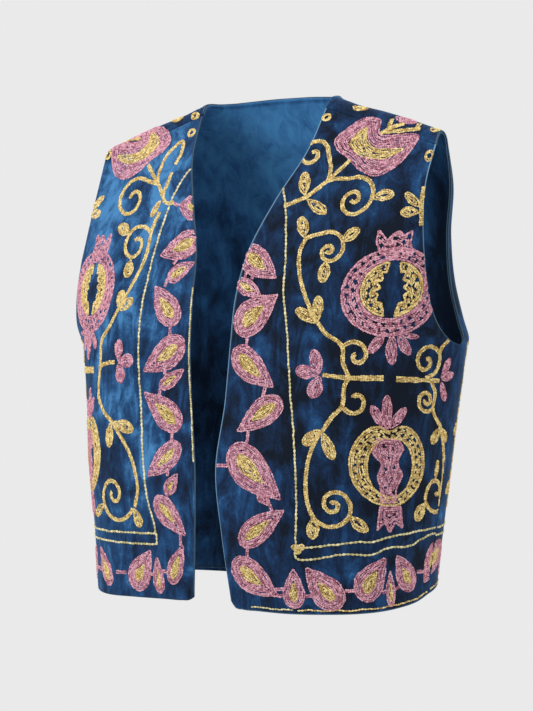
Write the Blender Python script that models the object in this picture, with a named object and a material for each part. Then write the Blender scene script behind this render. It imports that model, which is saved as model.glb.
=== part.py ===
"""Open-fronted velvet waistcoat in the pose of wear, hollow, with nobody in it.

Metres, +Z up. The wearer faces -Y and the wearer's left is +X.
The origin is midway between the two points where the shoulder ridge meets the neck.
"""
import bpy
import numpy as np

COLLECTION_NAME = "waistcoat"

# Cloth
PANEL_THICKNESS = 0.0018
LINING_THICKNESS = 0.0010
SEAM_GAP = 0.0003
LINING_HEM_RISE = 0.003

# Cut
NECK_HALF_WIDTH = 0.078
SHOULDER_SLOPE = 0.341
UNDERARM = -0.256
SIDE_SEAM_BACK = 0.0125
SEAM_NECK = np.array((0.0760, -0.012, -0.0145))
SEAM_TIP = np.array((0.2035, -0.012, -0.0573))
SEAM_FALL = np.array((0.0, -0.454, -0.891))
CAP_SOFTNESS = 0.020
CAP_SAG = 0.004
CAP_SAG_PLACE = 0.112
CAP_SAG_WIDTH = 0.030

# Facets
LOW_ROWS = 9
FRONT_HIGH_ROWS = 14
FRONT_COLUMNS = 16
BACK_COLUMNS = 32
SECTION_SAMPLES = 96
BACK_ROW_SHARES = (0.0, 0.07, 0.15, 0.24, 0.34, 0.45, 0.56, 0.67, 0.77, 0.85, 0.91, 0.95, 0.98, 1.0)


def named(columns, rows):
    """Turn a short table into one array for each named column."""
    return dict(zip(columns.split(), np.array(rows, dtype=float).T))


# Half widths of the body on each side, and its depth behind the origin
BODY = named("height left right back front_power back_power", [
    (-0.520, 0.1810, 0.1950, 0.108, 2.6, 2.20),
    (-0.494, 0.1820, 0.1950, 0.109, 2.6, 2.20),
    (-0.442, 0.1895, 0.1980, 0.111, 2.5, 2.15),
    (-0.387, 0.1975, 0.2035, 0.113, 2.5, 2.10),
    (-0.307, 0.2085, 0.2140, 0.117, 2.5, 2.10),
    (-0.256, 0.2180, 0.2215, 0.120, 2.4, 2.10),
])

# The free edge of a front, from the hem to the shoulder seam
FRONT_EDGE = named("height across forward", [
    (-0.5200, 0.0225, -0.1040),
    (-0.4460, 0.0148, -0.1125),
    (-0.3820, 0.0110, -0.1180),
    (-0.3105, 0.0200, -0.1130),
    (-0.2510, 0.0240, -0.1090),
    (-0.2110, 0.0254, -0.1035),
    (-0.1620, 0.0310, -0.0880),
    (-0.1090, 0.0500, -0.0660),
    (-0.0590, 0.0700, -0.0380),
    (-0.0145, 0.0760, -0.0120),
])

# The front edge of an armhole, from the underarm to the shoulder seam
FRONT_ARMHOLE = named("height across forward power", [
    (-0.2560, 0.2180, 0.0125, 2.35),
    (-0.2505, 0.2175, -0.0080, 2.25),
    (-0.2360, 0.2160, -0.0285, 2.10),
    (-0.2110, 0.2130, -0.0410, 2.00),
    (-0.1730, 0.2090, -0.0430, 1.90),
    (-0.1400, 0.2050, -0.0390, 1.80),
    (-0.1000, 0.2020, -0.0295, 1.70),
    (-0.0573, 0.2035, -0.0120, 1.50),
])

# Sections of the back above the underarm, from the centre to the armhole
BACK_ROWS = named("centre_height centre_back edge_across edge_back edge_height power", [
    (-0.2430, 0.1205, 0.2140, 0.0265, -0.2500, 2.1),
    (-0.2050, 0.1205, 0.2020, 0.0380, -0.2300, 2.1),
    (-0.1500, 0.1165, 0.1880, 0.0470, -0.1925, 2.1),
    (-0.1000, 0.1030, 0.1860, 0.0455, -0.1500, 2.1),
    (-0.0520, 0.0810, 0.1970, 0.0320, -0.0900, 2.0),
])

# How far the shoulder cap falls below its ridge, from the front seam to the back
CAP = named("back fall", [
    (-0.0120, 0.0145),
    (-0.0090, 0.0080),
    (-0.0045, 0.0022),
    (0.0040, 0.0000),
    (0.0200, 0.0045),
    (0.0360, 0.0140),
    (0.0500, 0.0270),
    (0.0640, 0.0460),
    (0.0810, 0.0750),
])

# The back of the neck hole on the wearer's left, from the shoulder seam to the centre
NECK = named("across back height", [
    (0.0760, -0.0120, -0.0145),
    (0.0776, -0.0040, -0.0030),
    (0.0780, 0.0060, -0.0005),
    (0.0745, 0.0190, 0.0000),
    (0.0640, 0.0310, 0.0012),
    (0.0450, 0.0405, 0.0032),
    (0.0230, 0.0455, 0.0047),
    (0.0000, 0.0470, 0.0050),
])

# A line about 12 mm outside the neck hole, from the shoulder ridge to the centre
NECK_RING = named("across back", [
    (0.0905, 0.0000),
    (0.0895, 0.0130),
    (0.0835, 0.0275),
    (0.0700, 0.0405),
    (0.0480, 0.0515),
    (0.0240, 0.0570),
    (0.0000, 0.0590),
])
RING_SHARE = 0.19
CAP_STATIONS = (0.70, 0.46, 0.30, 0.19, 0.10, 0.045, 0.0)

# Height of the hem along a front, from its free edge, and along the back, from its centre
FRONT_HEM = named("share left right", [
    (0.00, -0.5105, -0.5085),
    (0.02, -0.5165, -0.5115),
    (0.06, -0.5185, -0.5125),
    (0.14, -0.5190, -0.5125),
    (0.32, -0.5200, -0.5135),
    (0.60, -0.5190, -0.5125),
    (0.78, -0.5150, -0.5065),
    (0.92, -0.5100, -0.4995),
    (1.00, -0.5045, -0.4950),
])
BACK_HEM = named("share left right", [
    (0.00, -0.5026, -0.5026),
    (0.50, -0.5020, -0.5015),
    (0.85, -0.4975, -0.4980),
    (1.00, -0.5045, -0.4950),
])

# Soft folds: place along the row at the low end and at the high end, heights, width, rise
LEFT_FOLDS = named("low_share high_share low high width rise", [
    (0.08, 0.12, -0.560, -0.300, 0.050, -0.0025),
    (0.30, 0.24, -0.560, -0.400, 0.060, 0.0030),
    (0.52, 0.46, -0.570, -0.330, 0.055, -0.0030),
    (0.68, 0.60, -0.560, -0.380, 0.045, 0.0035),
    (0.80, 0.86, -0.360, -0.230, 0.060, -0.0030),
    (0.45, 0.75, -0.200, -0.070, 0.070, 0.0022),
])
RIGHT_FOLDS = named("low_share high_share low high width rise", [
    (0.12, 0.08, -0.560, -0.330, 0.055, 0.0025),
    (0.34, 0.30, -0.570, -0.360, 0.050, -0.0030),
    (0.60, 0.52, -0.560, -0.300, 0.060, 0.0032),
    (0.82, 0.88, -0.370, -0.235, 0.055, -0.0030),
    (0.40, 0.70, -0.210, -0.080, 0.080, -0.0022),
])
BACK_FOLDS = named("low_share high_share low high width rise", [
    (-0.62, -0.50, -0.560, -0.300, 0.060, 0.0040),
    (-0.34, -0.30, -0.570, -0.330, 0.050, -0.0035),
    (-0.05, -0.04, -0.560, -0.250, 0.060, 0.0030),
    (0.24, 0.22, -0.570, -0.350, 0.050, -0.0035),
    (0.55, 0.48, -0.560, -0.290, 0.060, 0.0040),
    (0.80, 0.62, -0.290, -0.150, 0.060, -0.0030),
    (-0.80, -0.60, -0.300, -0.160, 0.060, -0.0030),
])


def through(stations, values, at):
    """Read a smooth curve, or a column of points, that passes through its stations."""
    values = np.asarray(values, dtype=float)
    at = np.clip(np.asarray(at, dtype=float), stations[0], stations[-1])
    slopes = np.gradient(values, stations, axis=0)
    low = np.clip(np.searchsorted(stations, at, side="right") - 1, 0, len(stations) - 2)
    step = stations[low + 1] - stations[low]
    part = (at - stations[low]) / step
    if values.ndim > 1:
        step = step[..., None]
        part = part[..., None]
    rest = 1 - part
    near = values[low] * rest ** 2 * (1 + 2 * part) + slopes[low] * step * part * rest ** 2
    far = values[low + 1] * part ** 2 * (3 - 2 * part) - slopes[low + 1] * step * rest * part ** 2
    return near + far


def read(table, column, at, by="height"):
    """Read one column of a table at other places along its first one."""
    return through(table[by], table[column], at)


def along(points, share):
    """Points on the smooth curve through the given ones, by its share of length."""
    points = np.asarray(points, dtype=float)
    lengths = np.linalg.norm(np.diff(points, axis=0), axis=1)
    run = np.concatenate(([0.0], np.cumsum(lengths)))
    return through(run, points, np.asarray(share) * run[-1])


def section(start, end, power, shares, rise_power=1.0):
    """A quarter of a rounded oval from one edge of a panel to the other, evenly spaced."""
    angle = np.linspace(0, np.pi / 2, SECTION_SAMPLES)
    across = np.sin(angle) ** (2 / power)
    inward = 1 - np.cos(angle) ** (2 / power)
    x = start[0] + (end[0] - start[0]) * across
    y = start[1] + (end[1] - start[1]) * inward
    run = np.concatenate(([0.0], np.cumsum(np.hypot(np.diff(x), np.diff(y)))))
    run /= run[-1]
    z = start[2] + (end[2] - start[2]) * shares ** rise_power
    return np.stack((np.interp(shares, run, x), np.interp(shares, run, y), z), axis=-1)


def side_seam(height, side):
    """The point of the side seam at a height."""
    return np.array((read(BODY, side, height), SIDE_SEAM_BACK, height))


def front_surface(side, shares, low_shares, high_shares):
    """Outer points of a front on the wearer's left side of the plan, rows from the hem up."""
    rows = []
    hem = read(FRONT_HEM, side, shares, by="share")
    armhole = np.stack([FRONT_ARMHOLE[name] for name in ("across", "forward", "height")], axis=-1)
    reach = read(BODY, side, UNDERARM) - armhole[0, 0]
    armhole[:, 0] += reach * np.linspace(1, 0, len(armhole))
    for low in low_shares:
        heights = hem + (UNDERARM - hem) * low
        start_height = heights[0]
        start = (read(FRONT_EDGE, "across", start_height), read(FRONT_EDGE, "forward", start_height), 0)
        row = section(start, side_seam(heights[-1], side), read(BODY, "front_power", heights[-1]), shares)
        row[:, 2] = heights
        rows.append(row)
    for high in high_shares[1:]:
        start_height = UNDERARM + (SEAM_NECK[2] - UNDERARM) * high
        end = along(armhole, high)
        start = (read(FRONT_EDGE, "across", start_height), read(FRONT_EDGE, "forward", start_height),
                 start_height)
        power = np.interp(end[2], FRONT_ARMHOLE["height"], FRONT_ARMHOLE["power"])
        rows.append(section(start, end, power, shares))
    return np.array(rows)


def cap_height(across, back):
    """Height of the shoulder cap over a place in the plan."""
    softened = np.sqrt(across ** 2 + CAP_SOFTNESS ** 2) - CAP_SOFTNESS ** 2 / (2 * NECK_HALF_WIDTH)
    sag = CAP_SAG * np.exp(-((across - CAP_SAG_PLACE) / CAP_SAG_WIDTH) ** 2)
    return SHOULDER_SLOPE * (NECK_HALF_WIDTH - softened) - read(CAP, "fall", back, by="back") - sag


def round_neck(table, shares):
    """Points round half of the neck hole for shares from 0, its centre, to a half, its corner."""
    points = np.column_stack(list(table.values()))
    mirrored = points[-2::-1].copy()
    mirrored[:, 0] *= -1
    return along(np.concatenate((points, mirrored)), 0.5 - np.minimum(shares, 0.5))


def back_half(side, shares, low_shares, high_shares):
    """Outer points of half the back, from its centre to its side, rows from the hem up."""
    hem = read(BACK_HEM, side, shares, by="share")
    rows = []

    def level(low_share):
        heights = hem + (UNDERARM - hem) * low_share
        start = (0.0, read(BODY, "back", heights[0]), 0.0)
        row = section(start, side_seam(heights[-1], side), read(BODY, "back_power", heights[-1]), shares)
        row[:, 2] = heights
        return row

    for low in low_shares:
        rows.append(level(low))
    stations = [level(0.8), level(1.0)]
    for i in range(len(BACK_ROWS["power"])):
        row = {name: values[i] for name, values in BACK_ROWS.items()}
        start = (0.0, row["centre_back"], row["centre_height"])
        end = (row["edge_across"], row["edge_back"], row["edge_height"])
        stations.append(section(start, end, row["power"], shares, rise_power=1.5))
    low_side = stations[-1]
    strip = (2 * np.maximum(shares, 0.5) - 1)[:, None]
    seam = SEAM_NECK + (SEAM_TIP - SEAM_NECK) * strip
    top = np.where(shares[:, None] < 0.5, round_neck(NECK, shares), seam)
    ring_start = np.array((NECK_RING["across"][0], 0.0))
    ridge = ring_start + (np.array((SEAM_TIP[0], 0.0)) - ring_start) * strip
    ring = np.where(shares[:, None] < 0.5, round_neck(NECK_RING, shares), ridge)
    plans = np.stack((top[:, :2], ring, low_side[:, :2]))
    lift = top[:, 2] - cap_height(top[:, 0], top[:, 1])
    settle = low_side[:, 2] - cap_height(low_side[:, 0], low_side[:, 1])
    for away in CAP_STATIONS:
        plan = np.stack([through(np.array((0.0, RING_SHARE, 1.0)), plans[:, i], away)
                         for i in range(len(shares))])
        height = cap_height(plan[:, 0], plan[:, 1]) + lift * (1 - away) ** 3 + settle * away ** 3
        stations.append(np.column_stack((plan, height)))
    stations = np.array(stations)
    columns = []
    for column in range(len(shares)):
        points = stations[:, column]
        lengths = np.linalg.norm(np.diff(points, axis=0), axis=1)
        start = lengths[0] / lengths.sum()
        columns.append(along(points, start + (1 - start) * np.asarray(high_shares[1:])))
    return np.concatenate((np.array(rows), np.swapaxes(np.array(columns), 0, 1)))


def mirrored_x(points):
    return points * (-1, 1, 1)


def unit(vectors):
    return vectors / np.linalg.norm(vectors, axis=-1, keepdims=True)


def normals_of(points):
    """Outward directions of a grid whose rows run from right to left of the wearer's outside."""
    across = np.gradient(points, axis=1)
    up = np.gradient(points, axis=0)
    normals = unit(np.cross(across, up))
    eased = np.pad(normals, ((1, 1), (1, 1), (0, 0)), mode="edge")
    around = eased[:-2, 1:-1] + eased[2:, 1:-1] + eased[1:-1, :-2] + eased[1:-1, 2:]
    return unit(2 * normals + around)


def folded(points, normals, shares, table):
    """Move the points along their normals by the soft folds of a table."""
    length = np.linalg.norm(np.diff(points[0], axis=0), axis=1).sum()
    span = shares[-1] - shares[0]
    moved = np.zeros(points.shape[:2])
    height = points[..., 2]
    for i in range(len(table["rise"])):
        fold = {name: values[i] for name, values in table.items()}
        part = np.clip((height - fold["low"]) / (fold["high"] - fold["low"]), 0, 1)
        centre = fold["low_share"] + (fold["high_share"] - fold["low_share"]) * part
        away = (shares[None, :] - centre) * length / span / fold["width"]
        moved += fold["rise"] * np.exp(-2 * away ** 2) * np.sin(np.pi * part) ** 0.8
    fade = np.clip((1 - np.abs(shares)) / 0.12, 0, 1)
    moved *= fade * fade * (3 - 2 * fade)
    moved[-3:] *= np.array((0.5, 0.2, 0.0))[:, None]
    return points + normals * moved[..., None]


def wall(name, outer, normals, depth, thickness, material):
    """Close a cloth wall between a grid of points and the same grid moved in."""
    rows, columns = outer.shape[:2]
    near = outer - normals * depth
    far = outer - normals * (depth + thickness)
    points = np.concatenate((near.reshape(-1, 3), far.reshape(-1, 3)))
    inner = rows * columns

    def at(row, column):
        return row * columns + column

    faces = []
    for row in range(rows - 1):
        for column in range(columns - 1):
            near_start, near_end = at(row, column), at(row, column + 1)
            far_start, far_end = at(row + 1, column), at(row + 1, column + 1)
            for corners in ((near_start, near_end, far_end), (near_start, far_end, far_start)):
                faces.append(corners)
                faces.append(tuple(inner + corner for corner in reversed(corners)))
    rim = [at(0, column) for column in range(columns)]
    rim += [at(row, columns - 1) for row in range(1, rows)]
    rim += [at(rows - 1, column) for column in range(columns - 2, -1, -1)]
    rim += [at(row, 0) for row in range(rows - 2, 0, -1)]
    for corner, following in zip(rim, rim[1:] + rim[:1]):
        faces.append((following, corner, inner + corner, inner + following))
    mesh = bpy.data.meshes.new(name)
    mesh.from_pydata(points.tolist(), [], faces)
    mesh.shade_smooth()
    mesh.materials.append(material)
    piece = bpy.data.objects.new(name, mesh)
    bpy.data.collections[COLLECTION_NAME].objects.link(piece)
    return piece


def velvet(name, colour, roughness):
    material = bpy.data.materials.new(name)
    material.use_nodes = True
    shader = material.node_tree.nodes["Principled BSDF"]
    shader.inputs["Base Color"].default_value = (*colour, 1)
    shader.inputs["Roughness"].default_value = roughness
    shader.inputs["Metallic"].default_value = 0.0
    return material


def front_grid(side):
    """Outer points and normals of one front, with its folds and its seam gaps."""
    shares = np.linspace(0, 1, FRONT_COLUMNS + 1)
    low = np.linspace(0, 1, LOW_ROWS + 1)
    high = np.linspace(0, 1, FRONT_HIGH_ROWS + 1)
    points = front_surface(side, shares, low, high)
    normals = normals_of(points)
    seam = points[:LOW_ROWS + 1, -1]
    normals[:LOW_ROWS + 1, -1] = unit(np.cross(np.array((0.0, 1.0, 0.0)), np.gradient(seam, axis=0)))
    normals[-1] = unit(np.cross(SEAM_FALL, SEAM_TIP - SEAM_NECK))
    points = folded(points, normals, shares, LEFT_FOLDS if side == "left" else RIGHT_FOLDS)
    points[:LOW_ROWS + 1, -1, 1] -= SEAM_GAP / 2
    points[-1] += SEAM_FALL * SEAM_GAP / 2
    if side == "right":
        points = mirrored_x(points)[:, ::-1]
        normals = mirrored_x(normals)[:, ::-1]
    return points, normals


def back_grid():
    """Outer points and normals of the whole back, from the wearer's left to the right."""
    half = np.linspace(0, 1, BACK_COLUMNS // 2 + 1)
    low = np.linspace(0, 1, LOW_ROWS + 1)
    left = back_half("left", half, low, BACK_ROW_SHARES)
    right = mirrored_x(back_half("right", half, low, BACK_ROW_SHARES))
    points = np.concatenate((left[:, ::-1], right[:, 1:]), axis=1)
    shares = np.concatenate((half[::-1], -half[1:]))
    normals = normals_of(points)
    for column, sign in ((0, 1), (-1, -1)):
        seam = points[:LOW_ROWS + 1, column]
        upward = np.gradient(seam, axis=0)
        normals[:LOW_ROWS + 1, column] = unit(np.cross(np.array((0.0, sign, 0.0)), upward))
    shoulder = unit(np.cross(SEAM_FALL, SEAM_TIP - SEAM_NECK))
    strip = BACK_COLUMNS // 4
    normals[-1, :strip + 1] = shoulder
    normals[-1, -strip - 1:] = mirrored_x(shoulder)
    points = folded(points, normals, shares, BACK_FOLDS)
    points[:LOW_ROWS + 1, (0, -1), 1] += SEAM_GAP / 2
    points[-1, :strip + 1] -= SEAM_FALL * SEAM_GAP / 2
    points[-1, -strip - 1:] -= SEAM_FALL * SEAM_GAP / 2
    return points, normals


def clear_scene():
    for thing in list(bpy.data.objects):
        bpy.data.objects.remove(thing, do_unlink=True)


def build():
    clear_scene()
    collection = bpy.data.collections.new(COLLECTION_NAME)
    bpy.context.scene.collection.children.link(collection)
    for side in ("left", "right"):
        points, normals = front_grid(side)
        colour = velvet("front_" + side + "_velvet", (0.018, 0.065, 0.140), 0.75)
        wall("front_" + side, points, normals, 0.0, PANEL_THICKNESS, colour)
    points, normals = back_grid()
    wall("back", points, normals, 0.0, PANEL_THICKNESS, velvet("back_velvet", (0.018, 0.065, 0.140), 0.75))
    raised = points.copy()
    raised[0] += unit(points[1] - points[0]) * LINING_HEM_RISE
    wall("back_lining", raised, normals, PANEL_THICKNESS + SEAM_GAP, LINING_THICKNESS,
         velvet("lining_velvet", (0.022, 0.085, 0.180), 0.8))


build()
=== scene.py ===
import math

import bpy
import numpy as np
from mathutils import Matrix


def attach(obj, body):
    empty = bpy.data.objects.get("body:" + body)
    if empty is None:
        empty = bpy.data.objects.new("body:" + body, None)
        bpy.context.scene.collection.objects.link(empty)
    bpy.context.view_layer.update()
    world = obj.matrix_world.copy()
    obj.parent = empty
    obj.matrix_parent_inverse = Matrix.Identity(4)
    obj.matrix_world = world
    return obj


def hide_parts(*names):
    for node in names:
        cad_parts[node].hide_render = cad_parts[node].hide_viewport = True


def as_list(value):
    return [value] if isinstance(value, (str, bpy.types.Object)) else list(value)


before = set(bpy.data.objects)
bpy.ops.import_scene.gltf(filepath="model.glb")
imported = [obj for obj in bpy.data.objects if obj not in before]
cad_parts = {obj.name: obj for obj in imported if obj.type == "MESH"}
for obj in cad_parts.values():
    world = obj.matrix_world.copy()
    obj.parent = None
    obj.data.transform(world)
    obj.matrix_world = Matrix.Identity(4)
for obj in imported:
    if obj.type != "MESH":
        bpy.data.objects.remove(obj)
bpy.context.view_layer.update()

# The looks of the waistcoat: a velvet shell on the form of each solid, sewn with chain stitch

# Cloth
PANEL_THICKNESS = 0.0018
LINING_THICKNESS = 0.0010
SEAM_GAP = 0.0003
LINING_HEM_RISE = 0.003

# Cut
NECK_HALF_WIDTH = 0.078
SHOULDER_SLOPE = 0.341
UNDERARM = -0.256
SIDE_SEAM_BACK = 0.0125
SEAM_NECK = np.array((0.0760, -0.012, -0.0145))
SEAM_TIP = np.array((0.2035, -0.012, -0.0573))
SEAM_FALL = np.array((0.0, -0.454, -0.891))
CAP_SOFTNESS = 0.020
CAP_SAG = 0.004
CAP_SAG_PLACE = 0.112
CAP_SAG_WIDTH = 0.030

# How the columns of the back run up from below the underarm, and how its sections rise above it
LEAD_IN_SHARE = 0.8
HIGH_BACK_RISE = 1.5

# How the soft folds fade: towards the side seams, at their ends, and by height above the underarm
FOLD_SIDE_FADE = 0.12
FOLD_ROUNDNESS = 0.8
FRONT_FOLD_FADE = ((0.80, 0.93, 1.0), (1.0, 0.3, 0.0))
BACK_FOLD_FADE = ((0.90, 0.97, 1.0), (1.0, 0.2, 0.0))

# Grid of each panel, and the finer steps of its rolled edges as shares of it
SECTION_SAMPLES = 256
FRONT_COLUMNS = 66
BACK_HALF_COLUMNS = 30
LOW_ROWS = 50
HIGH_ROWS = 50
BACK_HIGH_ROWS = 66
EDGE_STEPS = (0.0, 0.0010, 0.0026, 0.0060, 0.0120)


def named(columns, rows):
    """Turn a short table into one array for each named column."""
    return dict(zip(columns.split(), np.array(rows, dtype=float).T))


def rows_of(table):
    """The rows of a named table, each by its column names."""
    names = list(table)
    return [dict(zip(names, values)) for values in zip(*table.values())]


# Half widths of the body on each side, and its depth behind the origin
BODY = named("height left right back front_power back_power", [
    (-0.520, 0.1810, 0.1950, 0.108, 2.6, 2.20),
    (-0.494, 0.1820, 0.1950, 0.109, 2.6, 2.20),
    (-0.442, 0.1895, 0.1980, 0.111, 2.5, 2.15),
    (-0.387, 0.1975, 0.2035, 0.113, 2.5, 2.10),
    (-0.307, 0.2085, 0.2140, 0.117, 2.5, 2.10),
    (-0.256, 0.2180, 0.2215, 0.120, 2.4, 2.10),
])

# The free edge of a front, from the hem to the shoulder seam
FRONT_EDGE = named("height across forward", [
    (-0.5200, 0.0225, -0.1040),
    (-0.4460, 0.0148, -0.1125),
    (-0.3820, 0.0110, -0.1180),
    (-0.3105, 0.0200, -0.1130),
    (-0.2510, 0.0240, -0.1090),
    (-0.2110, 0.0254, -0.1035),
    (-0.1620, 0.0310, -0.0880),
    (-0.1090, 0.0500, -0.0660),
    (-0.0590, 0.0700, -0.0380),
    (-0.0145, 0.0760, -0.0120),
])

# The front edge of an armhole, from the underarm to the shoulder seam
FRONT_ARMHOLE = named("height across forward power", [
    (-0.2560, 0.2180, 0.0125, 2.35),
    (-0.2505, 0.2175, -0.0080, 2.25),
    (-0.2360, 0.2160, -0.0285, 2.10),
    (-0.2110, 0.2130, -0.0410, 2.00),
    (-0.1730, 0.2090, -0.0430, 1.90),
    (-0.1400, 0.2050, -0.0390, 1.80),
    (-0.1000, 0.2020, -0.0295, 1.70),
    (-0.0573, 0.2035, -0.0120, 1.50),
])

# Sections of the back above the underarm, from the centre to the armhole
BACK_ROWS = named("centre_height centre_back edge_across edge_back edge_height power", [
    (-0.2430, 0.1205, 0.2140, 0.0265, -0.2500, 2.1),
    (-0.2050, 0.1205, 0.2020, 0.0380, -0.2300, 2.1),
    (-0.1500, 0.1165, 0.1880, 0.0470, -0.1925, 2.1),
    (-0.1000, 0.1030, 0.1860, 0.0455, -0.1500, 2.1),
    (-0.0520, 0.0810, 0.1970, 0.0320, -0.0900, 2.0),
])

# How far the shoulder cap falls below its ridge, from the front seam to the back
CAP = named("back fall", [
    (-0.0120, 0.0145),
    (-0.0090, 0.0080),
    (-0.0045, 0.0022),
    (0.0040, 0.0000),
    (0.0200, 0.0045),
    (0.0360, 0.0140),
    (0.0500, 0.0270),
    (0.0640, 0.0460),
    (0.0810, 0.0750),
])

# The back of the neck hole on the wearer's left, from the shoulder seam to the centre
NECK = named("across back height", [
    (0.0760, -0.0120, -0.0145),
    (0.0776, -0.0040, -0.0030),
    (0.0780, 0.0060, -0.0005),
    (0.0745, 0.0190, 0.0000),
    (0.0640, 0.0310, 0.0012),
    (0.0450, 0.0405, 0.0032),
    (0.0230, 0.0455, 0.0047),
    (0.0000, 0.0470, 0.0050),
])

# A line about 12 mm outside the neck hole, from the shoulder ridge to the centre
NECK_RING = named("across back", [
    (0.0905, 0.0000),
    (0.0895, 0.0130),
    (0.0835, 0.0275),
    (0.0700, 0.0405),
    (0.0480, 0.0515),
    (0.0240, 0.0570),
    (0.0000, 0.0590),
])
RING_SHARE = 0.19
CAP_STATIONS = (0.70, 0.46, 0.30, 0.19, 0.10, 0.045, 0.0)

# Height of the hem along a front, from its free edge, and along the back, from its centre
FRONT_HEM = named("share left right", [
    (0.00, -0.5105, -0.5085),
    (0.02, -0.5165, -0.5115),
    (0.06, -0.5185, -0.5125),
    (0.14, -0.5190, -0.5125),
    (0.32, -0.5200, -0.5135),
    (0.60, -0.5190, -0.5125),
    (0.78, -0.5150, -0.5065),
    (0.92, -0.5100, -0.4995),
    (1.00, -0.5045, -0.4950),
])
BACK_HEM = named("share left right", [
    (0.00, -0.5026, -0.5026),
    (0.50, -0.5020, -0.5015),
    (0.85, -0.4975, -0.4980),
    (1.00, -0.5045, -0.4950),
])

# Soft folds: place along the row at the low end and at the high end, heights, width, rise
LEFT_FOLDS = named("low_share high_share low high width rise", [
    (0.08, 0.12, -0.560, -0.300, 0.050, -0.0025),
    (0.30, 0.24, -0.560, -0.400, 0.060, 0.0030),
    (0.52, 0.46, -0.570, -0.330, 0.055, -0.0030),
    (0.68, 0.60, -0.560, -0.380, 0.045, 0.0035),
    (0.80, 0.86, -0.360, -0.230, 0.060, -0.0030),
    (0.45, 0.75, -0.200, -0.070, 0.070, 0.0022),
])
RIGHT_FOLDS = named("low_share high_share low high width rise", [
    (0.12, 0.08, -0.560, -0.330, 0.055, 0.0025),
    (0.34, 0.30, -0.570, -0.360, 0.050, -0.0030),
    (0.60, 0.52, -0.560, -0.300, 0.060, 0.0032),
    (0.82, 0.88, -0.370, -0.235, 0.055, -0.0030),
    (0.40, 0.70, -0.210, -0.080, 0.080, -0.0022),
])
BACK_FOLDS = named("low_share high_share low high width rise", [
    (-0.62, -0.50, -0.560, -0.300, 0.060, 0.0040),
    (-0.34, -0.30, -0.570, -0.330, 0.050, -0.0035),
    (-0.05, -0.04, -0.560, -0.250, 0.060, 0.0030),
    (0.24, 0.22, -0.570, -0.350, 0.050, -0.0035),
    (0.55, 0.48, -0.560, -0.290, 0.060, 0.0040),
    (0.80, 0.62, -0.290, -0.150, 0.060, -0.0030),
    (-0.80, -0.60, -0.300, -0.160, 0.060, -0.0030),
])


def through(stations, values, at):
    """Read a smooth curve, or a column of points, that passes through its stations."""
    values = np.asarray(values, dtype=float)
    at = np.clip(np.asarray(at, dtype=float), stations[0], stations[-1])
    slopes = np.gradient(values, stations, axis=0)
    low = np.clip(np.searchsorted(stations, at, side="right") - 1, 0, len(stations) - 2)
    step = stations[low + 1] - stations[low]
    part = (at - stations[low]) / step
    if values.ndim > 1:
        step = step[..., None]
        part = part[..., None]
    rest = 1 - part
    near = values[low] * rest ** 2 * (1 + 2 * part) + slopes[low] * step * part * rest ** 2
    far = values[low + 1] * part ** 2 * (3 - 2 * part) - slopes[low + 1] * step * rest * part ** 2
    return near + far


def read(table, column, at, by="height"):
    """Read one column of a table at other places along its first one."""
    return through(table[by], table[column], at)


def along(points, share):
    """Points on the smooth curve through the given ones, by its share of length."""
    points = np.asarray(points, dtype=float)
    lengths = np.linalg.norm(np.diff(points, axis=0), axis=1)
    run = np.concatenate(([0.0], np.cumsum(lengths)))
    return through(run, points, np.asarray(share) * run[-1])


def section(start, end, power, shares, rise_power=1.0):
    """A quarter of a rounded oval from one edge of a panel to the other, evenly spaced."""
    angle = np.linspace(0, np.pi / 2, SECTION_SAMPLES)
    across = np.sin(angle) ** (2 / power)
    inward = 1 - np.cos(angle) ** (2 / power)
    x = start[0] + (end[0] - start[0]) * across
    y = start[1] + (end[1] - start[1]) * inward
    run = np.concatenate(([0.0], np.cumsum(np.hypot(np.diff(x), np.diff(y)))))
    run /= run[-1]
    z = start[2] + (end[2] - start[2]) * shares ** rise_power
    return np.stack((np.interp(shares, run, x), np.interp(shares, run, y), z), axis=-1)


def side_seam(height, side):
    """The point of the side seam at a height."""
    return np.array((read(BODY, side, height), SIDE_SEAM_BACK, height))


def front_surface(side, shares, low_shares, high_shares):
    """Outer points of a front on the wearer's left side of the plan, rows from the hem up."""
    rows = []
    hem = read(FRONT_HEM, side, shares, by="share")
    armhole = np.stack([FRONT_ARMHOLE[name] for name in ("across", "forward", "height")], axis=-1)
    reach = read(BODY, side, UNDERARM) - armhole[0, 0]
    armhole[:, 0] += reach * np.linspace(1, 0, len(armhole))
    for low in low_shares:
        heights = hem + (UNDERARM - hem) * low
        start_height = heights[0]
        start = (read(FRONT_EDGE, "across", start_height), read(FRONT_EDGE, "forward", start_height), 0)
        row = section(start, side_seam(heights[-1], side), read(BODY, "front_power", heights[-1]), shares)
        row[:, 2] = heights
        rows.append(row)
    for high in high_shares[1:]:
        start_height = UNDERARM + (SEAM_NECK[2] - UNDERARM) * high
        end = along(armhole, high)
        start = (read(FRONT_EDGE, "across", start_height), read(FRONT_EDGE, "forward", start_height),
                 start_height)
        power = np.interp(end[2], FRONT_ARMHOLE["height"], FRONT_ARMHOLE["power"])
        rows.append(section(start, end, power, shares))
    return np.array(rows)


def cap_height(across, back):
    """Height of the shoulder cap over a place in the plan."""
    rounded = np.sqrt(across ** 2 + CAP_SOFTNESS ** 2) - CAP_SOFTNESS ** 2 / (2 * NECK_HALF_WIDTH)
    sag = CAP_SAG * np.exp(-((across - CAP_SAG_PLACE) / CAP_SAG_WIDTH) ** 2)
    return SHOULDER_SLOPE * (NECK_HALF_WIDTH - rounded) - read(CAP, "fall", back, by="back") - sag


def round_neck(table, shares):
    """Points round half of the neck hole for shares from 0, its centre, to a half, its corner."""
    points = np.column_stack(list(table.values()))
    mirrored = points[-2::-1].copy()
    mirrored[:, 0] *= -1
    return along(np.concatenate((points, mirrored)), 0.5 - np.minimum(shares, 0.5))


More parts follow.
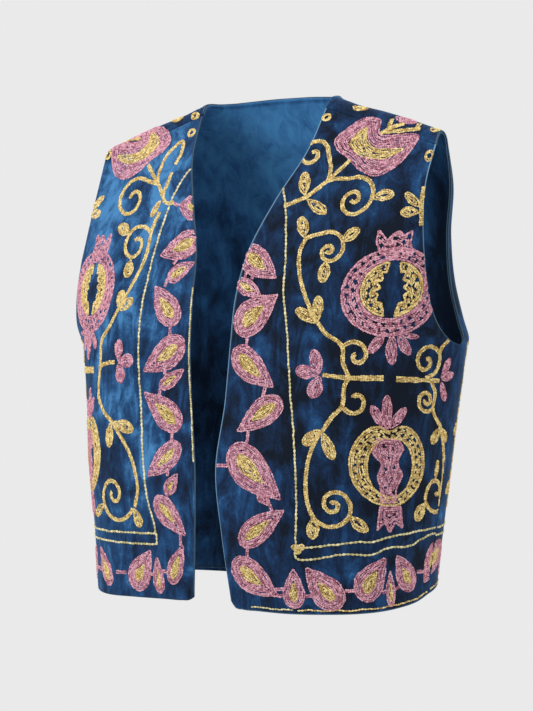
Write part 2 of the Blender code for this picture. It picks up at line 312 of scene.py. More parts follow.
def back_half(side, shares, low_shares, high_shares):
    """Outer points of half the back, from its centre to its side, rows from the hem up."""
    hem = read(BACK_HEM, side, shares, by="share")
    rows = []

    def level(low_share):
        heights = hem + (UNDERARM - hem) * low_share
        start = (0.0, read(BODY, "back", heights[0]), 0.0)
        row = section(start, side_seam(heights[-1], side), read(BODY, "back_power", heights[-1]), shares)
        row[:, 2] = heights
        return row

    for low in low_shares:
        rows.append(level(low))
    stations = [level(LEAD_IN_SHARE), level(1.0)]
    for row in rows_of(BACK_ROWS):
        start = (0.0, row["centre_back"], row["centre_height"])
        end = (row["edge_across"], row["edge_back"], row["edge_height"])
        stations.append(section(start, end, row["power"], shares, HIGH_BACK_RISE))
    low_side = stations[-1]
    strip = (2 * np.maximum(shares, 0.5) - 1)[:, None]
    seam = SEAM_NECK + (SEAM_TIP - SEAM_NECK) * strip
    top = np.where(shares[:, None] < 0.5, round_neck(NECK, shares), seam)
    ring_start = np.array((NECK_RING["across"][0], 0.0))
    ridge = ring_start + (np.array((SEAM_TIP[0], 0.0)) - ring_start) * strip
    ring = np.where(shares[:, None] < 0.5, round_neck(NECK_RING, shares), ridge)
    plans = np.stack((top[:, :2], ring, low_side[:, :2]))
    lift = top[:, 2] - cap_height(top[:, 0], top[:, 1])
    settle = low_side[:, 2] - cap_height(low_side[:, 0], low_side[:, 1])
    for away in CAP_STATIONS:
        plan = np.stack([through(np.array((0.0, RING_SHARE, 1.0)), plans[:, i], away)
                         for i in range(len(shares))])
        height = cap_height(plan[:, 0], plan[:, 1]) + lift * (1 - away) ** 3 + settle * away ** 3
        stations.append(np.column_stack((plan, height)))
    stations = np.array(stations)
    columns = []
    for column in range(len(shares)):
        points = stations[:, column]
        lengths = np.linalg.norm(np.diff(points, axis=0), axis=1)
        start = lengths[0] / lengths.sum()
        columns.append(along(points, start + (1 - start) * np.asarray(high_shares[1:])))
    return np.concatenate((np.array(rows), np.swapaxes(np.array(columns), 0, 1)))


def mirrored_x(points):
    return points * (-1, 1, 1)


def unit(vectors):
    return vectors / np.linalg.norm(vectors, axis=-1, keepdims=True)


def normals_of(points):
    """Outward directions of a grid whose rows run from right to left of the wearer's outside."""
    across = np.gradient(points, axis=1)
    up = np.gradient(points, axis=0)
    normals = unit(np.cross(across, up))
    eased = np.pad(normals, ((1, 1), (1, 1), (0, 0)), mode="edge")
    around = eased[:-2, 1:-1] + eased[2:, 1:-1] + eased[1:-1, :-2] + eased[1:-1, 2:]
    return unit(2 * normals + around)


def softened(share):
    """A smooth step from 0 to 1."""
    share = np.clip(share, 0, 1)
    return share * share * (3 - 2 * share)


def folded(points, normals, shares, row_fade, table):
    """Move the points along their normals by the soft folds of a table."""
    length = np.linalg.norm(np.diff(points[0], axis=0), axis=1).sum()
    span = shares[-1] - shares[0]
    moved = np.zeros(points.shape[:2])
    height = points[..., 2]
    for fold in rows_of(table):
        part = np.clip((height - fold["low"]) / (fold["high"] - fold["low"]), 0, 1)
        centre = fold["low_share"] + (fold["high_share"] - fold["low_share"]) * part
        away = (shares[None, :] - centre) * length / span / fold["width"]
        moved += fold["rise"] * np.exp(-2 * away ** 2) * np.sin(np.pi * part) ** FOLD_ROUNDNESS
    moved *= softened((1 - np.abs(shares)) / FOLD_SIDE_FADE)
    moved *= row_fade[:, None]
    return points + normals * moved[..., None]




def cumulative(points, axis):
    """Distance run along one axis of a grid, from its first row or column."""
    steps = np.linalg.norm(np.diff(points, axis=axis), axis=-1)
    start = np.zeros_like(np.take(steps, [0], axis=axis))
    return np.concatenate((start, np.cumsum(steps, axis=axis)), axis=axis)


CREASE_EDGE_FADE = 0.012
CREASE_END_SHARE = 0.3
COARSE_STEP = 6
LOCATE_ROUNDS = 14


class Panel:
    """One panel of cloth on a grid, with a place across and up it for each point.

    seams tells, for its first and last column and its first and last row, where they are sewn on.
    """

    def __init__(self, points, normals, across, up, seams):
        self.points = points
        self.normals = normals
        self.place = np.stack((across, up), axis=-1)
        self.nap = np.zeros(points.shape[:2])
        self.measure(seams)

    def measure(self, seams):
        run = cumulative(self.points, 1)
        climb = cumulative(self.points, 0)
        edges = (run, run[:, -1:] - run, climb, climb[-1:] - climb)
        self.edge_distance = np.minimum.reduce(edges)
        free = [np.where(sewn_on, 1.0, edge) for sewn_on, edge in zip(seams, edges)]
        self.free_distance = np.minimum.reduce(free)

    def crease(self, table):
        """Raise or sink the cloth along lines, and make it lighter or darker there: brushed pile, with
        painted light on most ridges and painted shade in most troughs.
        """
        place = self.place * 100
        fade = softened(self.edge_distance / CREASE_EDGE_FADE)
        for line in rows_of(table):
            start = np.array((line["from_across"], line["from_up"]))
            ahead = np.array((line["to_across"], line["to_up"])) - start
            share = ((place - start) @ ahead) / (ahead @ ahead)
            bow = line["bow"] * np.sin(np.pi * np.clip(share, 0, 1))
            aside = np.array((-ahead[1], ahead[0])) / np.linalg.norm(ahead)
            off = (place - start) @ aside - bow
            ends = softened(share / CREASE_END_SHARE) * softened((1 - share) / CREASE_END_SHARE)
            strength = np.exp(-(off / line["width"]) ** 2) * ends
            self.points = self.points + self.normals * (strength * fade * line["rise"] / 1000)[..., None]
            self.nap += strength * line["nap"]

    def brush(self, table):
        """Make the cloth lighter or darker in broad patches: brushed pile, and painted light and shade.
        """
        place = self.place * 100
        for patch in rows_of(table):
            over = (place[..., 0] - patch["across"]) / patch["wide"]
            up = (place[..., 1] - patch["up"]) / patch["tall"]
            self.nap += patch["nap"] * np.exp(-over ** 2 - up ** 2)

    def sample(self, grid, row, column):
        """Read a grid between its points."""
        low_row = np.clip(row.astype(int), 0, grid.shape[0] - 2)
        low_column = np.clip(column.astype(int), 0, grid.shape[1] - 2)
        up = (row - low_row)[:, None]
        over = (column - low_column)[:, None]
        below = grid[low_row, low_column] * (1 - over) + grid[low_row, low_column + 1] * over
        above = grid[low_row + 1, low_column] * (1 - over) + grid[low_row + 1, low_column + 1] * over
        return below * (1 - up) + above * up

    def locate(self, places):
        """Row and column of each place, and how far outside the panel it lies."""
        rows, columns = self.place.shape[:2]
        coarse = self.place[::COARSE_STEP, ::COARSE_STEP]
        flat = coarse.reshape(-1, 2)
        nearest = np.array([np.argmin(((flat - place) ** 2).sum(axis=1)) for place in places])
        row = (nearest // coarse.shape[1] * COARSE_STEP).astype(float)
        column = (nearest % coarse.shape[1] * COARSE_STEP).astype(float)
        for _ in range(LOCATE_ROUNDS):
            error = places - self.sample(self.place, row, column)
            over = self.sample(self.place, row, column + 0.5) - self.sample(self.place, row, column - 0.5)
            up = self.sample(self.place, row + 0.5, column) - self.sample(self.place, row - 0.5, column)
            spread = over[:, 0] * up[:, 1] - over[:, 1] * up[:, 0]
            spread = np.where(np.abs(spread) < 1e-12, 1e-12, spread)
            aside = (error[:, 0] * up[:, 1] - error[:, 1] * up[:, 0]) / spread
            ahead = (over[:, 0] * error[:, 1] - over[:, 1] * error[:, 0]) / spread
            column = np.clip(column + np.clip(aside, -COARSE_STEP, COARSE_STEP), 0, columns - 1)
            row = np.clip(row + np.clip(ahead, -COARSE_STEP, COARSE_STEP), 0, rows - 1)
        outside = np.linalg.norm(places - self.sample(self.place, row, column), axis=1)
        return row, column, outside


def stepped(count, at_start, at_end):
    """Shares from 0 to 1, with the finer steps of a rolled edge at the ends that have one."""
    steps = np.array(EDGE_STEPS)
    start = steps if at_start else steps[:1]
    end = 1 - (steps if at_end else steps[:1])[::-1]
    return np.concatenate((start[:-1], np.linspace(start[-1], end[0], count + 1), end[1:]))


def front_panel(side, shares, low, high):
    """One front, mirrored to the wearer's right where that is its side."""
    low_count = len(low)
    points = front_surface(side, shares, low, high)
    normals = normals_of(points)
    seam = points[:low_count, -1]
    normals[:low_count, -1] = unit(np.cross(np.array((0.0, 1.0, 0.0)), np.gradient(seam, axis=0)))
    normals[-1] = unit(np.cross(SEAM_FALL, SEAM_TIP - SEAM_NECK))
    row_fade = np.concatenate((np.ones(low_count), np.interp(high[1:], *FRONT_FOLD_FADE)))
    points = folded(points, normals, shares, row_fade, LEFT_FOLDS if side == "left" else RIGHT_FOLDS)
    points[:low_count, -1, 1] -= SEAM_GAP / 2
    points[-1] += SEAM_FALL * SEAM_GAP / 2
    across = points[:, :1, 0] + cumulative(points[..., :2], 1)
    up = points[..., 2]
    side_seam_rows = (np.arange(len(points)) < low_count)[:, None]
    seams = (False, side_seam_rows, False, True)
    if side == "right":
        points = mirrored_x(points)[:, ::-1]
        normals = mirrored_x(normals)[:, ::-1]
        across = across[:, ::-1]
        up = up[:, ::-1]
        seams = (side_seam_rows, False, False, True)
    return Panel(points, normals, across, up, seams)


def back_panel(half, low, high):
    """The whole back, from the wearer's left to the right."""
    low_count = len(low)
    strip = np.count_nonzero(half > 0.5)
    left = back_half("left", half, low, high)
    right = mirrored_x(back_half("right", half, low, high))
    points = np.concatenate((left[:, ::-1], right[:, 1:]), axis=1)
    shares = np.concatenate((half[::-1], -half[1:]))
    normals = normals_of(points)
    for column, sign in ((0, 1), (-1, -1)):
        seam = points[:low_count, column]
        upward = np.gradient(seam, axis=0)
        normals[:low_count, column] = unit(np.cross(np.array((0.0, sign, 0.0)), upward))
    shoulder = unit(np.cross(SEAM_FALL, SEAM_TIP - SEAM_NECK))
    normals[-1, :strip + 1] = shoulder
    normals[-1, -strip - 1:] = mirrored_x(shoulder)
    row_fade = np.concatenate((np.ones(low_count), np.interp(high[1:], *BACK_FOLD_FADE)))
    points = folded(points, normals, shares, row_fade, BACK_FOLDS)
    points[:low_count, (0, -1), 1] += SEAM_GAP / 2
    points[-1, :strip + 1] -= SEAM_FALL * SEAM_GAP / 2
    points[-1, -strip - 1:] -= SEAM_FALL * SEAM_GAP / 2
    run = cumulative(points, 1)
    across = run[:, len(half) - 1:len(half)] - run
    climb = cumulative(points, 0)
    up = climb - climb[low_count - 1] + UNDERARM
    side_seam_rows = (np.arange(len(points)) < low_count)[:, None]
    shoulder_columns = (np.abs(shares) >= 0.5)[None]
    return Panel(points, normals, across, up, (side_seam_rows, side_seam_rows, False, shoulder_columns))


def back_halves(edge_steps):
    """Shares across half the back, with the neck corner among them and an edge's steps at its end."""
    inner = np.linspace(0, 0.5, BACK_HALF_COLUMNS + 1)
    steps = 1 - np.array(edge_steps)[::-1]
    return np.concatenate((inner, np.linspace(0.5, steps[0], BACK_HALF_COLUMNS + 1)[1:], steps[1:]))


def over_shoulder(side, front, count):
    """A front with the back's strip beyond the shoulder seam added, to carry stitches over it."""
    half = np.concatenate((np.linspace(0, 0.5, NECK_COLUMNS)[:-1], np.linspace(0.5, 1, count)))
    low = np.array((0.0, 1.0))
    high = np.concatenate(([0.0], np.linspace(SHOULDER_REACH, 1, SHOULDER_ROWS)))
    back = back_panel(half, low, high)
    rows = slice(len(low), -1)
    columns = slice(0, count) if side == "left" else slice(-count, None)
    strip = back.points[rows, columns][::-1, ::-1]
    normals = back.normals[rows, columns][::-1, ::-1]
    points = np.concatenate((front.points, strip))
    climb = cumulative(points[len(front.points) - 1:], 0)[1:]
    across = np.repeat(front.place[-1:, :, 0], len(strip), axis=0)
    up = front.place[-1:, :, 1] + climb * SHOULDER_RISE
    across = np.concatenate((front.place[..., 0], across))
    up = np.concatenate((front.place[..., 1], up))
    whole = Panel(points, np.concatenate((front.normals, normals)), across, up, (False,) * 4)
    whole.seam_row = len(front.points) - 1
    return whole


def placed(name, data):
    """An object with the data, in the scene."""
    piece = bpy.data.objects.new(name, data)
    bpy.context.scene.collection.objects.link(piece)
    return piece


def mesh_piece(name, points, faces, values, material):
    """A smooth mesh, with a value at each point for each attribute that its material reads."""
    mesh = bpy.data.meshes.new(name)
    mesh.from_pydata(points.tolist(), [], faces.tolist())
    mesh.shade_smooth()
    for key, numbers in values.items():
        mesh.attributes.new(key, "FLOAT", "POINT").data.foreach_set("value", numbers.astype(np.float32))
    mesh.materials.append(material)
    return placed(name, mesh)


def shell(name, panel, depth, thickness, material, rise=0.0):
    """A closed sheet of cloth with rolled edges, its outer face at a depth under the panel."""
    rows, columns = panel.points.shape[:2]
    rim_highlight = RIM_HIGHLIGHT[name]
    roll = thickness / 2
    inset = np.clip(1 - panel.edge_distance / roll, 0, 1)
    half = roll * np.sqrt(np.maximum(1 - inset ** 2, 0))
    middle = depth + roll
    outer_points = panel.points.copy()
    if rise:
        outer_points[0] += unit(panel.points[3] - panel.points[0]) * rise
        outer_points[1:4] = outer_points[0] + (panel.points[1:4] - panel.points[0])
    outer = outer_points - panel.normals * (middle - half)[..., None]
    inner = outer_points - panel.normals * (middle + half)[..., None]
    inside = np.zeros((rows, columns), dtype=bool)
    inside[1:-1, 1:-1] = True
    outer_index = np.arange(rows * columns).reshape(rows, columns)
    inner_index = outer_index.copy()
    inner_index[inside] = rows * columns + np.arange(inside.sum())
    points = np.concatenate((outer.reshape(-1, 3), inner[inside]))
    # rim marks the free edges: there the outer face gets a painted highlight, and where that is weak,
    # painted shade on the pile
    rim = np.clip(1 - (panel.free_distance - RIM_WIDTH) / RIM_WIDTH, 0, 1)
    rim[:HEM_ROWS, HEM_ROWS:] *= HEM_RIM_SHARE
    nap = panel.nap - RIM_PAINTED_SHADE * (1 - rim_highlight) * rim
    rim = np.concatenate((rim.ravel(), np.zeros(inside.sum()))) * rim_highlight
    nap = np.concatenate((nap.ravel(), panel.nap[inside]))

    def quads(index, outward):
        corners = (index[:-1, :-1], index[:-1, 1:], index[1:, 1:], index[1:, :-1])
        order = corners if outward else corners[::-1]
        return np.stack(order, axis=-1).reshape(-1, 4)

    faces = np.concatenate((quads(outer_index, True), quads(inner_index, False)))
    return mesh_piece(name + "_velvet", points, faces, {"rim": rim, "nap": nap}, material)


# Where the back's strip over the shoulder is read, and how its places run on up from the front
SHOULDER_REACH = 0.84
SHOULDER_ROWS = 33
NECK_COLUMNS = 9
SHOULDER_RISE = 0.9

# The painted highlight along the free edges, weaker along the hem, and the painted shade that darkens the
# pile beside it where that highlight is weak
RIM_WIDTH = 0.0008
RIM_PAINTED_SHADE = 0.35
HEM_ROWS = 5
HEM_RIM_SHARE = 0.3
# How strong the painted highlight along the free edges of each sheet is
RIM_HIGHLIGHT = {"front_left": 0.60, "front_right": 0.16, "back": 0.22, "back_lining": 0.30}

# Creases: a line on the panel in centimetres with its bow, its width, its rise in millimetres, and
# how much lighter or darker it is made there: brushed pile, and painted light on most ridges and painted
# shade in most troughs
CREASES = {
    "front_left": named("from_across from_up to_across to_up bow width rise nap", [
        (8.0, -3.0, 13.0, -12.0, 0.6, 1.0, -1.0, -0.05),
        (18.5, -5.0, 16.0, -13.5, -0.6, 1.1, 1.1, 0.06),
        (21.0, -14.0, 15.0, -24.0, 1.0, 1.3, 1.0, 0.05),
        (4.5, -13.0, 9.5, -30.0, -0.8, 1.2, -1.2, -0.05),
        (12.0, -19.0, 11.0, -33.0, 0.5, 0.9, 0.9, 0.06),
        (24.5, -26.5, 17.5, -31.0, 0.8, 1.2, -1.3, -0.06),
        (25.5, -30.0, 21.0, -38.0, -0.9, 1.0, 1.0, 0.05),
        (15.5, -33.0, 14.0, -47.5, 0.7, 1.0, 1.2, 0.07),
        (22.0, -38.0, 23.0, -50.0, 0.4, 1.2, -1.2, -0.04),
        (6.0, -36.0, 4.5, -49.0, -0.5, 1.1, 1.1, 0.06),
        (11.0, -44.0, 17.0, -49.5, 0.5, 0.9, -0.9, 0.04),
    ]),
    "front_right": named("from_across from_up to_across to_up bow width rise nap", [
        (8.8, -5.5, 10.0, -17.0, 0.4, 0.7, 1.2, 0.10),
        (10.0, -14.0, 12.5, -24.5, -0.4, 0.8, 1.0, 0.08),
        (13.5, -5.5, 9.2, -11.5, 0.5, 0.8, -1.0, 0.06),
        (18.0, -6.5, 16.0, -16.0, -0.6, 1.0, 1.0, 0.07),
        (12.0, -20.0, 16.5, -31.0, 0.7, 1.0, -1.2, 0.05),
        (7.6, -17.0, 6.9, -27.0, 0.3, 0.8, -0.9, 0.05),
        (20.5, -22.0, 15.0, -29.5, 0.8, 1.1, 1.1, 0.04),
        (8.0, -31.0, 9.0, -46.0, -0.5, 1.0, 1.0, 0.04),
        (14.5, -33.0, 13.0, -46.0, 0.6, 1.2, -1.1, -0.02),
        (22.0, -33.0, 20.0, -49.0, 0.7, 1.1, 1.2, 0.04),
    ]),
    "back": named("from_across from_up to_across to_up bow width rise nap", [
        (-9.0, -3.0, -4.0, -14.0, 0.8, 1.3, -1.2, -0.04),
        (8.5, -2.5, 5.0, -16.0, -0.7, 1.2, -1.2, -0.04),
        (-17.0, -9.0, -11.0, -22.0, 1.2, 1.4, 1.4, 0.07),
        (16.5, -10.0, 10.5, -20.5, -1.0, 1.3, 1.4, 0.07),
        (-1.0, -13.0, 1.5, -31.0, 0.8, 1.2, 1.0, 0.06),
        (-20.5, -25.0, -12.0, -30.0, -0.9, 1.2, -1.3, -0.05),
        (20.5, -26.0, 11.5, -32.0, 0.9, 1.3, -1.3, -0.05),
        (-15.0, -30.0, -16.5, -47.0, 0.8, 1.1, 1.3, 0.07),
        (-6.0, -33.0, -5.0, -48.0, -0.6, 1.0, -1.1, 0.05),
        (7.0, -32.0, 8.5, -48.5, 0.7, 1.2, 1.2, 0.06),
        (17.5, -33.0, 16.0, -47.5, -0.5, 1.0, -1.2, -0.04),
    ]),
}

# Broad patches made lighter or darker: partly brushed pile, partly painted light and shade
PATCHES = {
    "front_left": named("across up wide tall nap", [
        (14.0, -26.0, 40.0, 60.0, -0.035),
        (16.0, -5.0, 9.0, 6.0, 0.02),
        (3.0, -44.0, 3.0, 12.0, 0.05),
        (17.0, -33.0, 9.0, 15.0, -0.05),
    ]),
    "front_right": named("across up wide tall nap", [
        (10.5, -9.0, 1.0, 9.0, 0.07),
        (17.5, -13.0, 2.0, 6.0, 0.08),
        (14.0, -6.0, 12.0, 11.0, 0.12),
        (14.0, -30.0, 30.0, 30.0, 0.02),
        (11.0, -24.0, 6.0, 14.0, 0.03),
        (12.0, -45.0, 12.0, 9.0, 0.03),
        (13.0, -9.5, 2.6, 2.6, -0.14),
    ]),
    "back": named("across up wide tall nap", [
        (0.0, -4.0, 16.0, 7.0, 0.05),
        (-12.0, -26.0, 8.0, 10.0, 0.03),
        (9.0, -40.0, 9.0, 10.0, -0.03),
    ]),
}

# The lining inside the back: painted light below the neck and painted shade lower down and at its side,
# with a row of stitches just under its edges
LINING_PAINTED_LIGHT = named("across up wide tall nap", [
    (0.0, -2.0, 22.0, 16.0, 0.17),
    (-6.0, -36.0, 14.0, 18.0, -0.12),
    (19.0, -20.0, 5.0, 16.0, -0.20),
])
TOPSTITCH_DEPTH = 0.0034
TOPSTITCH_WIDTH = 0.0012
TOPSTITCH_SHADE = 0.12

# The panels of the shells, and coarser ones, the grounds, on which the stitches find their places
BACK_GROUND_ROWS = 121
EVEN = np.linspace(0, 1, 81)
low_steps = stepped(LOW_ROWS, True, False)
front_steps = (stepped(FRONT_COLUMNS, True, True), low_steps, stepped(HIGH_ROWS, False, True))
back_steps = (back_halves(EDGE_STEPS), low_steps, stepped(BACK_HIGH_ROWS, False, True))
panels = {
    "front_left": front_panel("left", *front_steps),
    "front_right": front_panel("right", *front_steps),
    "back": back_panel(*back_steps),
}
grounds = {
    "front_left": front_panel("left", EVEN, EVEN, EVEN),
    "front_right": front_panel("right", EVEN, EVEN, EVEN),
    "back": back_panel(back_halves(EDGE_STEPS[:1]), EVEN, np.linspace(0, 1, BACK_GROUND_ROWS)),
}
for name, table in CREASES.items():
    panels[name].crease(table)
    grounds[name].crease(table)
    panels[name].brush(PATCHES[name])
grounds["back"].seam_row = len(grounds["back"].points)
for name, side in (("front_left", "left"), ("front_right", "right")):
    grounds[name] = over_shoulder(side, grounds[name], len(EVEN))


# The velvet's pile: how its streaks are stretched and turned, how much each pattern tells, and
# where its four tones stand
STREAK_STRETCH = (1.0, 1.0, 0.38)
STREAK_TURN = (0.22, -0.18, 0.0)
CLOUD_SHARE = 0.36
STREAK_SHARE = 0.48
GRAIN_SHARE = 0.12
TONE_STOPS = (0.39, 0.49, 0.58, 0.70)
FIBRE_CONTRAST = 0.9
TONE_SPREAD = 0.80


def colour_of(text):
    """A linear colour from its sRGB hex digits."""
    values = [int(text[i:i + 2], 16) / 255 for i in (0, 2, 4)]
    linear = [v / 12.92 if v <= 0.04045 else ((v + 0.055) / 1.055) ** 2.4 for v in values]
    return (*linear, 1.0)


def noise(nodes, links, vector, scale, detail, roughness, distortion):
    texture = nodes.new("ShaderNodeTexNoise")
    texture.inputs["Scale"].default_value = scale
    texture.inputs["Detail"].default_value = detail
    texture.inputs["Roughness"].default_value = roughness
    texture.inputs["Distortion"].default_value = distortion
    links.new(vector, texture.inputs["Vector"])
    return texture.outputs["Fac"]


def combine(nodes, links, operation, first, second, third=None):
    """One sum or product of two or three numbers or outputs."""
    node = nodes.new("ShaderNodeMath")
    node.operation = operation
    for i, value in enumerate((first, second, third)):
        if value is None:
            continue
        if isinstance(value, float):
            node.inputs[i].default_value = value
        else:
            links.new(value, node.inputs[i])
    return node.outputs["Value"]


def new_material(name):
    """A material, its nodes, their links and its main shader."""
    material = bpy.data.materials.new(name)
    material.use_nodes = True
    tree = material.node_tree
    return material, tree.nodes, tree.links, tree.nodes["Principled BSDF"]


def attribute(nodes, name):
    node = nodes.new("ShaderNodeAttribute")
    node.attribute_name = name
    return node.outputs["Fac"]


def mixed(nodes, links, share, first, second):
    """A colour output blended towards a second colour by a share."""
    mix = nodes.new("ShaderNodeMix")
    mix.data_type = "RGBA"
    links.new(share, mix.inputs["Factor"])
    links.new(first, mix.inputs["A"])
    mix.inputs["B"].default_value = colour_of(second)
    return mix.outputs["Result"]


def roughen(nodes, links, shader, height, strength, distance):
    """Small relief on a shader."""
    relief = nodes.new("ShaderNodeBump")
    relief.inputs["Strength"].default_value = strength
    relief.inputs["Distance"].default_value = distance
    links.new(height, relief.inputs["Height"])
    links.new(relief.outputs["Normal"], shader.inputs["Normal"])


def velvet(name, tones, rim_highlight_colour, sheen, mottle=1.0):
    """Crushed velvet: pile brushed in soft patches and streaks, made lighter or darker by the painted
    light and shade the cloth carries, with a painted highlight along its free edges.
    """
    material, nodes, links, shader = new_material(name)
    place = nodes.new("ShaderNodeTexCoord")
    stretch = nodes.new("ShaderNodeMapping")
    stretch.inputs["Scale"].default_value = STREAK_STRETCH
    stretch.inputs["Rotation"].default_value = STREAK_TURN
    links.new(place.outputs["Object"], stretch.inputs["Vector"])
    clouds = noise(nodes, links, place.outputs["Object"], 20.0, 3.0, 0.50, 0.9)
    streaks = noise(nodes, links, stretch.outputs["Vector"], 62.0, 4.0, 0.62, 1.1)
    grain = noise(nodes, links, place.outputs["Object"], 420.0, 2.0, 0.60, 0.2)
    shares = [share * mottle for share in (CLOUD_SHARE, STREAK_SHARE, GRAIN_SHARE)]
    # Brushed pile, with the painted light and shade of the patches, creases, lining and rim
    level = combine(nodes, links, "ADD", attribute(nodes, "nap"), 0.5 - sum(shares) / 2)
    for pattern, share in zip((clouds, streaks, grain), shares):
        level = combine(nodes, links, "MULTIPLY_ADD", pattern, share, level)
    ramp = nodes.new("ShaderNodeValToRGB")
    stops = ramp.color_ramp.elements
    stops[0].position = TONE_STOPS[0]
    stops[0].color = colour_of(tones[0])
    stops[1].position = TONE_STOPS[-1]
    stops[1].color = colour_of(tones[-1])
    for stop, tone in zip(TONE_STOPS[1:-1], tones[1:-1]):
        stops.new(stop).color = colour_of(tone)
    links.new(level, ramp.inputs["Fac"])
    # A painted highlight along the free edges
    rim_highlighted = mixed(nodes, links, attribute(nodes, "rim"), ramp.outputs["Color"], rim_highlight_colour)
    links.new(rim_highlighted, shader.inputs["Base Color"])
    pile = noise(nodes, links, stretch.outputs["Vector"], 900.0, 2.0, 0.50, 0.0)
    roughen(nodes, links, shader, pile, 0.35, 0.0006)
    shader.inputs["Roughness"].default_value = 0.85
    shader.inputs["Specular IOR Level"].default_value = 0.12
    shader.inputs["Sheen Weight"].default_value = sheen
    shader.inputs["Sheen Roughness"].default_value = 0.30
    shader.inputs["Sheen Tint"].default_value = colour_of("7cabdc")
    return material


def thread_material(name, crevice_shade, middle, light):
    """Twisted thread: painted shade between the strands and a painted highlight on their crowns, uneven
    from link to link.
    """
    material, nodes, links, shader = new_material(name)
    place = nodes.new("ShaderNodeTexCoord")
    fibre = noise(nodes, links, place.outputs["Object"], 1500.0, 2.0, 0.60, 0.4)
    fibre_shading = combine(nodes, links, "MULTIPLY_ADD", fibre, FIBRE_CONTRAST, -FIBRE_CONTRAST / 2)
    height = combine(nodes, links, "ADD", attribute(nodes, "lift"), fibre_shading)
    strand_shading = nodes.new("ShaderNodeValToRGB")
    for stop, position, tone in zip(strand_shading.color_ramp.elements, (0.15, 0.85), (crevice_shade, middle)):
        stop.position = position
        stop.color = colour_of(tone)
    links.new(height, strand_shading.inputs["Fac"])
    share = combine(nodes, links, "MULTIPLY", attribute(nodes, "tone"), TONE_SPREAD)
    paler = mixed(nodes, links, share, strand_shading.outputs["Color"], light)
    links.new(paler, shader.inputs["Base Color"])
    roughen(nodes, links, shader, fibre, 0.45, 0.0004)
    shader.inputs["Roughness"].default_value = 0.62
    shader.inputs["Specular IOR Level"].default_value = 0.28
    return material


# Chain stitch. Places on a panel are in centimetres: across from the front or back centre, and up.
LINK_SECTION = named("across rise", [
    (-1.00, -0.30),
    (-0.55, 1.00),
    (0.00, 0.36),
    (0.55, 1.00),
    (1.00, -0.30),
])
LINK_STATIONS = named("along half rise", [
    (-0.05, 0.34, 0.34),
    (0.55, 1.00, 1.00),
    (1.14, 0.44, 0.54),
])
LINK_HEIGHT = 0.44
SHORTEST_LINK = 0.0004
FILL_WIDTH = 0.215
FILL_LENGTH = 0.25
FILL_SPACING = 0.174
VINE_WIDTH = 0.20
VINE_SPACING = 0.135
LINE_WIDTH = 0.27
LINE_LENGTH = 0.42
EDGING_WIDTH = 0.20
EDGING_LENGTH = 0.34
EDGING_WAVES = 2.4
HEART_SHARE = 0.60
BUD_SLIT = (0.34, 0.46, 0.60)
BUD_SPACING = 0.165
LINK_OUTLINE_WIDTH = 0.20
TIP_TAPER = 1.6

# How uneven the hand is: a stitch's place, its length, width and height, and the rows' waver
WANDER = 0.022
LENGTH_SPREAD = (0.92, 1.08)
WIDTH_SPREAD = (0.88, 1.10)
HEIGHT_SPREAD = (0.80, 1.20)
LINK_WANDER = 0.10
ROW_WAVER = 0.10

# Rows in an outline: the step of its points, the fewest that make a row, and a gap that parts two
OUTLINE_STEP = 0.10
FEWEST_POINTS = 5
ROW_BREAK = 0.8
MOST_ROWS = 40
SMOOTHING_ROUNDS = 6

sewn = {}
hand = np.random.default_rng(7)


class Ground:
    """Where a motif goes: a panel, and how its places are squeezed, moved or mirrored there."""

    def __init__(self, panel, across=0.0, up=0.0, sign=1.0, squeeze=1.0):
        self.panel = panel
        self.scale = np.array((squeeze, 1.0))
        self.move = np.array((across, up))
        self.sign = np.array((sign, 1.0))

    def at(self, path):
        return (np.asarray(path, dtype=float) * self.scale + self.move) * self.sign


def evenly(path, step):
    """The same path with points at even steps."""
    path = np.asarray(path, dtype=float)
    run = np.concatenate(([0.0], np.cumsum(np.linalg.norm(np.diff(path, axis=0), axis=1))))
    count = max(1, int(round(run[-1] / step)))
    at = np.linspace(0, run[-1], count + 1)
    return np.stack((np.interp(at, run, path[:, 0]), np.interp(at, run, path[:, 1])), axis=-1)


def closed(outline):
    return np.concatenate((outline, outline[:1]))


def eased(points, loop=False):
    """A smooth path through a few points."""
    points = np.asarray(points, dtype=float)
    if loop:
        points = np.concatenate((points[-2:], points, points[:3]))
    run = np.concatenate(([0.0], np.cumsum(np.linalg.norm(np.diff(points, axis=0), axis=1))))
    start, end = (run[2], run[-3]) if loop else (run[0], run[-1])
    at = np.linspace(start, end, 12 * len(points))
    return through(run, points, at)


def beside(path, shift):
    """The same path moved to one side."""
    along_path = np.gradient(path, axis=0)
    along_path /= np.maximum(np.linalg.norm(along_path, axis=1, keepdims=True), 1e-9)
    return path + np.stack((-along_path[:, 1], along_path[:, 0]), axis=-1) * shift


def within(points, outline):
    """Whether each point lies inside a closed outline."""
    x, y = points[:, None, 0], points[:, None, 1]
    start, end = outline, np.roll(outline, -1, axis=0)
    crosses = (start[:, 1] > y) != (end[:, 1] > y)
    rise = np.where(end[:, 1] == start[:, 1], 1e-9, end[:, 1] - start[:, 1])
    level = start[:, 0] + (y - start[:, 1]) * (end[:, 0] - start[:, 0]) / rise
    return (crosses & (x < level)).sum(axis=1) % 2 == 1


def stitch(ground, thread, path, width=FILL_WIDTH, length=FILL_LENGTH, keep_out=()):
    """Sew one row of chain stitch along a path, a little uneven as by hand."""
    points = evenly(path, length * hand.uniform(*LENGTH_SPREAD))
    if len(points) > 2:
        points[1:-1] += hand.normal(0, WANDER, (len(points) - 2, 2))
    start, end = points[:-1], points[1:]
    kept = np.ones(len(start), dtype=bool)
    for outline in keep_out:
        kept &= ~within((start + end) / 2, outline)
    rows = sewn.setdefault((ground.panel, thread), [])
    rows.append((ground.at(start[kept]), ground.at(end[kept]), np.full(kept.sum(), width)))


